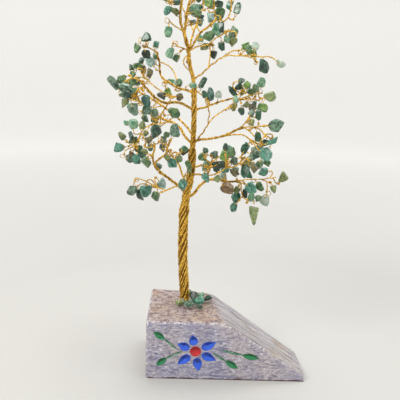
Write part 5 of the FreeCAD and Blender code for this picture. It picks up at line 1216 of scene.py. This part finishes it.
def worn_wedge():
    """The wooden wedge with its brushed relief, grooved slope and nicked edges."""
    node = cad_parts["wedge_base"]
    block = node.data.copy()
    block.transform(node.matrix_world)
    rough = put("rough_wedge", block)
    grid = rough.modifiers.new("grid", "REMESH")
    grid.mode, grid.voxel_size = "VOXEL", WEDGE_GRID * MM
    shaped = rough.evaluated_get(bpy.context.evaluated_depsgraph_get())
    mesh = bpy.data.meshes.new_from_object(shaped)
    bpy.data.objects.remove(rough)
    marks = mesh.attributes.new(WEDGE_MARKS, "FLOAT_COLOR", "POINT")
    normals = [v.normal.copy() for v in mesh.vertices]
    for n, (vertex, out) in enumerate(zip(mesh.vertices, normals)):
        p = vertex.co / MM
        near = max(FLATS, key=lambda name: out.dot(FLATS[name]))
        if in_gouge(p):
            vertex.co -= out * (GOUGE_SINK * MM)
            marks.data[n].color = (1, 0, 0, 0.5)
            continue
        edge = step(1 - out.dot(FLATS[near]), 0.01, 0.12)
        depth, hollow = wedge_relief(p, near, edge)
        if near == "under":
            depth *= step(p.z, 0.0, 0.6)
        elif p.z < NICK_HIGH and near == "front":
            depth += NICK_DEEP * step(NICK_HALF - abs(p.x - NICK_X), 0, 1.2)
        vertex.co -= out * (depth * MM)
        vertex.co.z = max(vertex.co.z, 0.0)
        spread = out.dot(FLATS["slope"]) - out.dot(FLATS["top"])
        marks.data[n].color = (
            step(max(abs(out.y), -out.x), 0.6, 0.85), step(spread, -0.12, 0.10),
            edge * step(evenly(p, 0.35), -0.35, 0.25), hollow)
    mesh.polygons.foreach_set("use_smooth", [True] * len(mesh.polygons))
    mesh.materials.clear()
    mesh.materials.append(whitewash())
    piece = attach(put("worn_wedge", mesh), TREE)
    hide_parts("wedge_base")


worn_wedge()

# ---------------------------------------------------------------- carried-over CAD nodes

# Each paint's dark colour serves both its streaks and the painted shade on the gouge walls that
# face down.
CARRIED = {
    "petal_paint": paint_look("blue_paint", (0.13, 0.36, 0.86), (0.03, 0.09, 0.40)),
    "flower_centre_paint": paint_look("red_paint", (0.80, 0.09, 0.13), (0.42, 0.02, 0.06)),
    "leaf_paint": paint_look("green_paint", (0.08, 0.50, 0.29), (0.02, 0.23, 0.13)),
}
for node, material in CARRIED.items():
    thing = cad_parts[node]
    for slot in thing.material_slots:
        slot.material = material

# ---------------------------------------------------------------- floor, light and camera

STUDIO_RADIUS, STUDIO_HEIGHT, STUDIO_BEND = 1400, 1500, 300
STUDIO_SIDES, STUDIO_STEPS = 96, 8
GLOW_FROM, GLOW_FULL = 220, 900   # how far out the floor's own light begins, and is full
STUDIO_GLOW = 0.46                # the far floor's and the wall's own light, like a lit backdrop
TREE_MIDDLE = (-20, 5, 130)       # what the lamps face
CAMERA_PLACE = (-25, -386.2, 207)
CAMERA_TURNS = (0.9, 13.9, 1.8)   # to the right, down, and about its own line, in degrees


def studio_round():
    """A pale round floor that curves up into a pale wall, softly lit away from the object."""
    profile = [(0, 0), (300, 0), (700, 0)]
    for n in range(STUDIO_STEPS + 1):
        bend = math.pi / 2 * n / STUDIO_STEPS
        reach = STUDIO_RADIUS - STUDIO_BEND * (1 - math.sin(bend))
        profile.append((reach, STUDIO_BEND * (1 - math.cos(bend))))
    profile.append((STUDIO_RADIUS, STUDIO_HEIGHT))
    points, faces = [(0, 0, 0)], []
    for reach, z in profile[1:]:
        for k in range(STUDIO_SIDES):
            turn = 2 * math.pi * k / STUDIO_SIDES
            points.append((reach * math.cos(turn), reach * math.sin(turn), z))
    for k in range(STUDIO_SIDES):
        m = (k + 1) % STUDIO_SIDES
        faces.append([0, 1 + k, 1 + m])
        for ring in range(len(profile) - 2):
            near, far = 1 + ring * STUDIO_SIDES, 1 + (ring + 1) * STUDIO_SIDES
            faces.append([near + k, far + k, far + m, near + m])
    mesh = bpy.data.meshes.new("studio_round")
    mesh.from_pydata([tuple(v * MM for v in p) for p in points], [], faces)
    mesh.polygons.foreach_set("use_smooth", [True] * len(faces))
    look = Look("pale_paper", Roughness=0.8)
    look.colour(look.mix(look.noise(0.01, 2), srgb(0.765, 0.76, 0.745), srgb(0.755, 0.75, 0.735)))
    look.shader.inputs["Emission Color"].default_value = srgb(0.985, 0.985, 0.975)
    squares = [look.maths("MULTIPLY", far, far) for far in (look.axis("X"), look.axis("Y"))]
    reach = look.maths("SQRT", look.maths("ADD", *squares))
    glow = look.fade(reach, GLOW_FROM, GLOW_FULL, 0.0, STUDIO_GLOW)
    look.links.new(glow, look.shader.inputs["Emission Strength"])
    mesh.materials.append(look.material)
    put("studio_round", mesh)


def soft_light(name, place, size, power, tint=(1, 1, 1)):
    """A large square lamp that faces the middle of the tree."""
    lamp = bpy.data.lights.new(name, "AREA")
    lamp.size, lamp.energy, lamp.color = size * MM, power, tint
    thing = put(name, lamp)
    thing.location = Vector(place) * MM
    aim = Vector(TREE_MIDDLE) * MM - thing.location
    thing.rotation_euler = aim.to_track_quat("-Z", "Y").to_euler()


def camera():
    """The front view: a little above the tree's middle, looking slightly down."""
    yaw, pitch, roll = (math.radians(v) for v in CAMERA_TURNS)
    flat = math.cos(pitch)
    ahead = Vector((math.sin(yaw) * flat, math.cos(yaw) * flat, -math.sin(pitch)))
    level = Vector((math.cos(yaw), -math.sin(yaw), 0))
    lift = level.cross(ahead)
    right = level * math.cos(roll) + lift * math.sin(roll)
    up = lift * math.cos(roll) - level * math.sin(roll)
    view = bpy.data.cameras.new("camera")
    view.sensor_width, view.lens = 36, 55.8
    thing = put("camera", view)
    turn = Matrix((right, up, -ahead)).transposed().to_4x4()
    thing.matrix_world = Matrix.Translation(Vector(CAMERA_PLACE) * MM) @ turn
    bpy.context.scene.camera = thing


studio_round()
soft_light("key", (-460, -330, 560), 260, 2.9, (1, 0.98, 0.95))
soft_light("fill", (560, -260, 260), 260, 0.7, (0.96, 0.98, 1))
soft_light("top", (60, 180, 820), 600, 5.6)
world = bpy.data.worlds.new("studio")
world.use_nodes = True
sky = world.node_tree.nodes["Background"].inputs
sky["Color"].default_value, sky["Strength"].default_value = (0.95, 0.96, 1.0, 1), 0.12
bpy.context.scene.world = world
bpy.context.scene.view_settings.view_transform = "Standard"
camera()
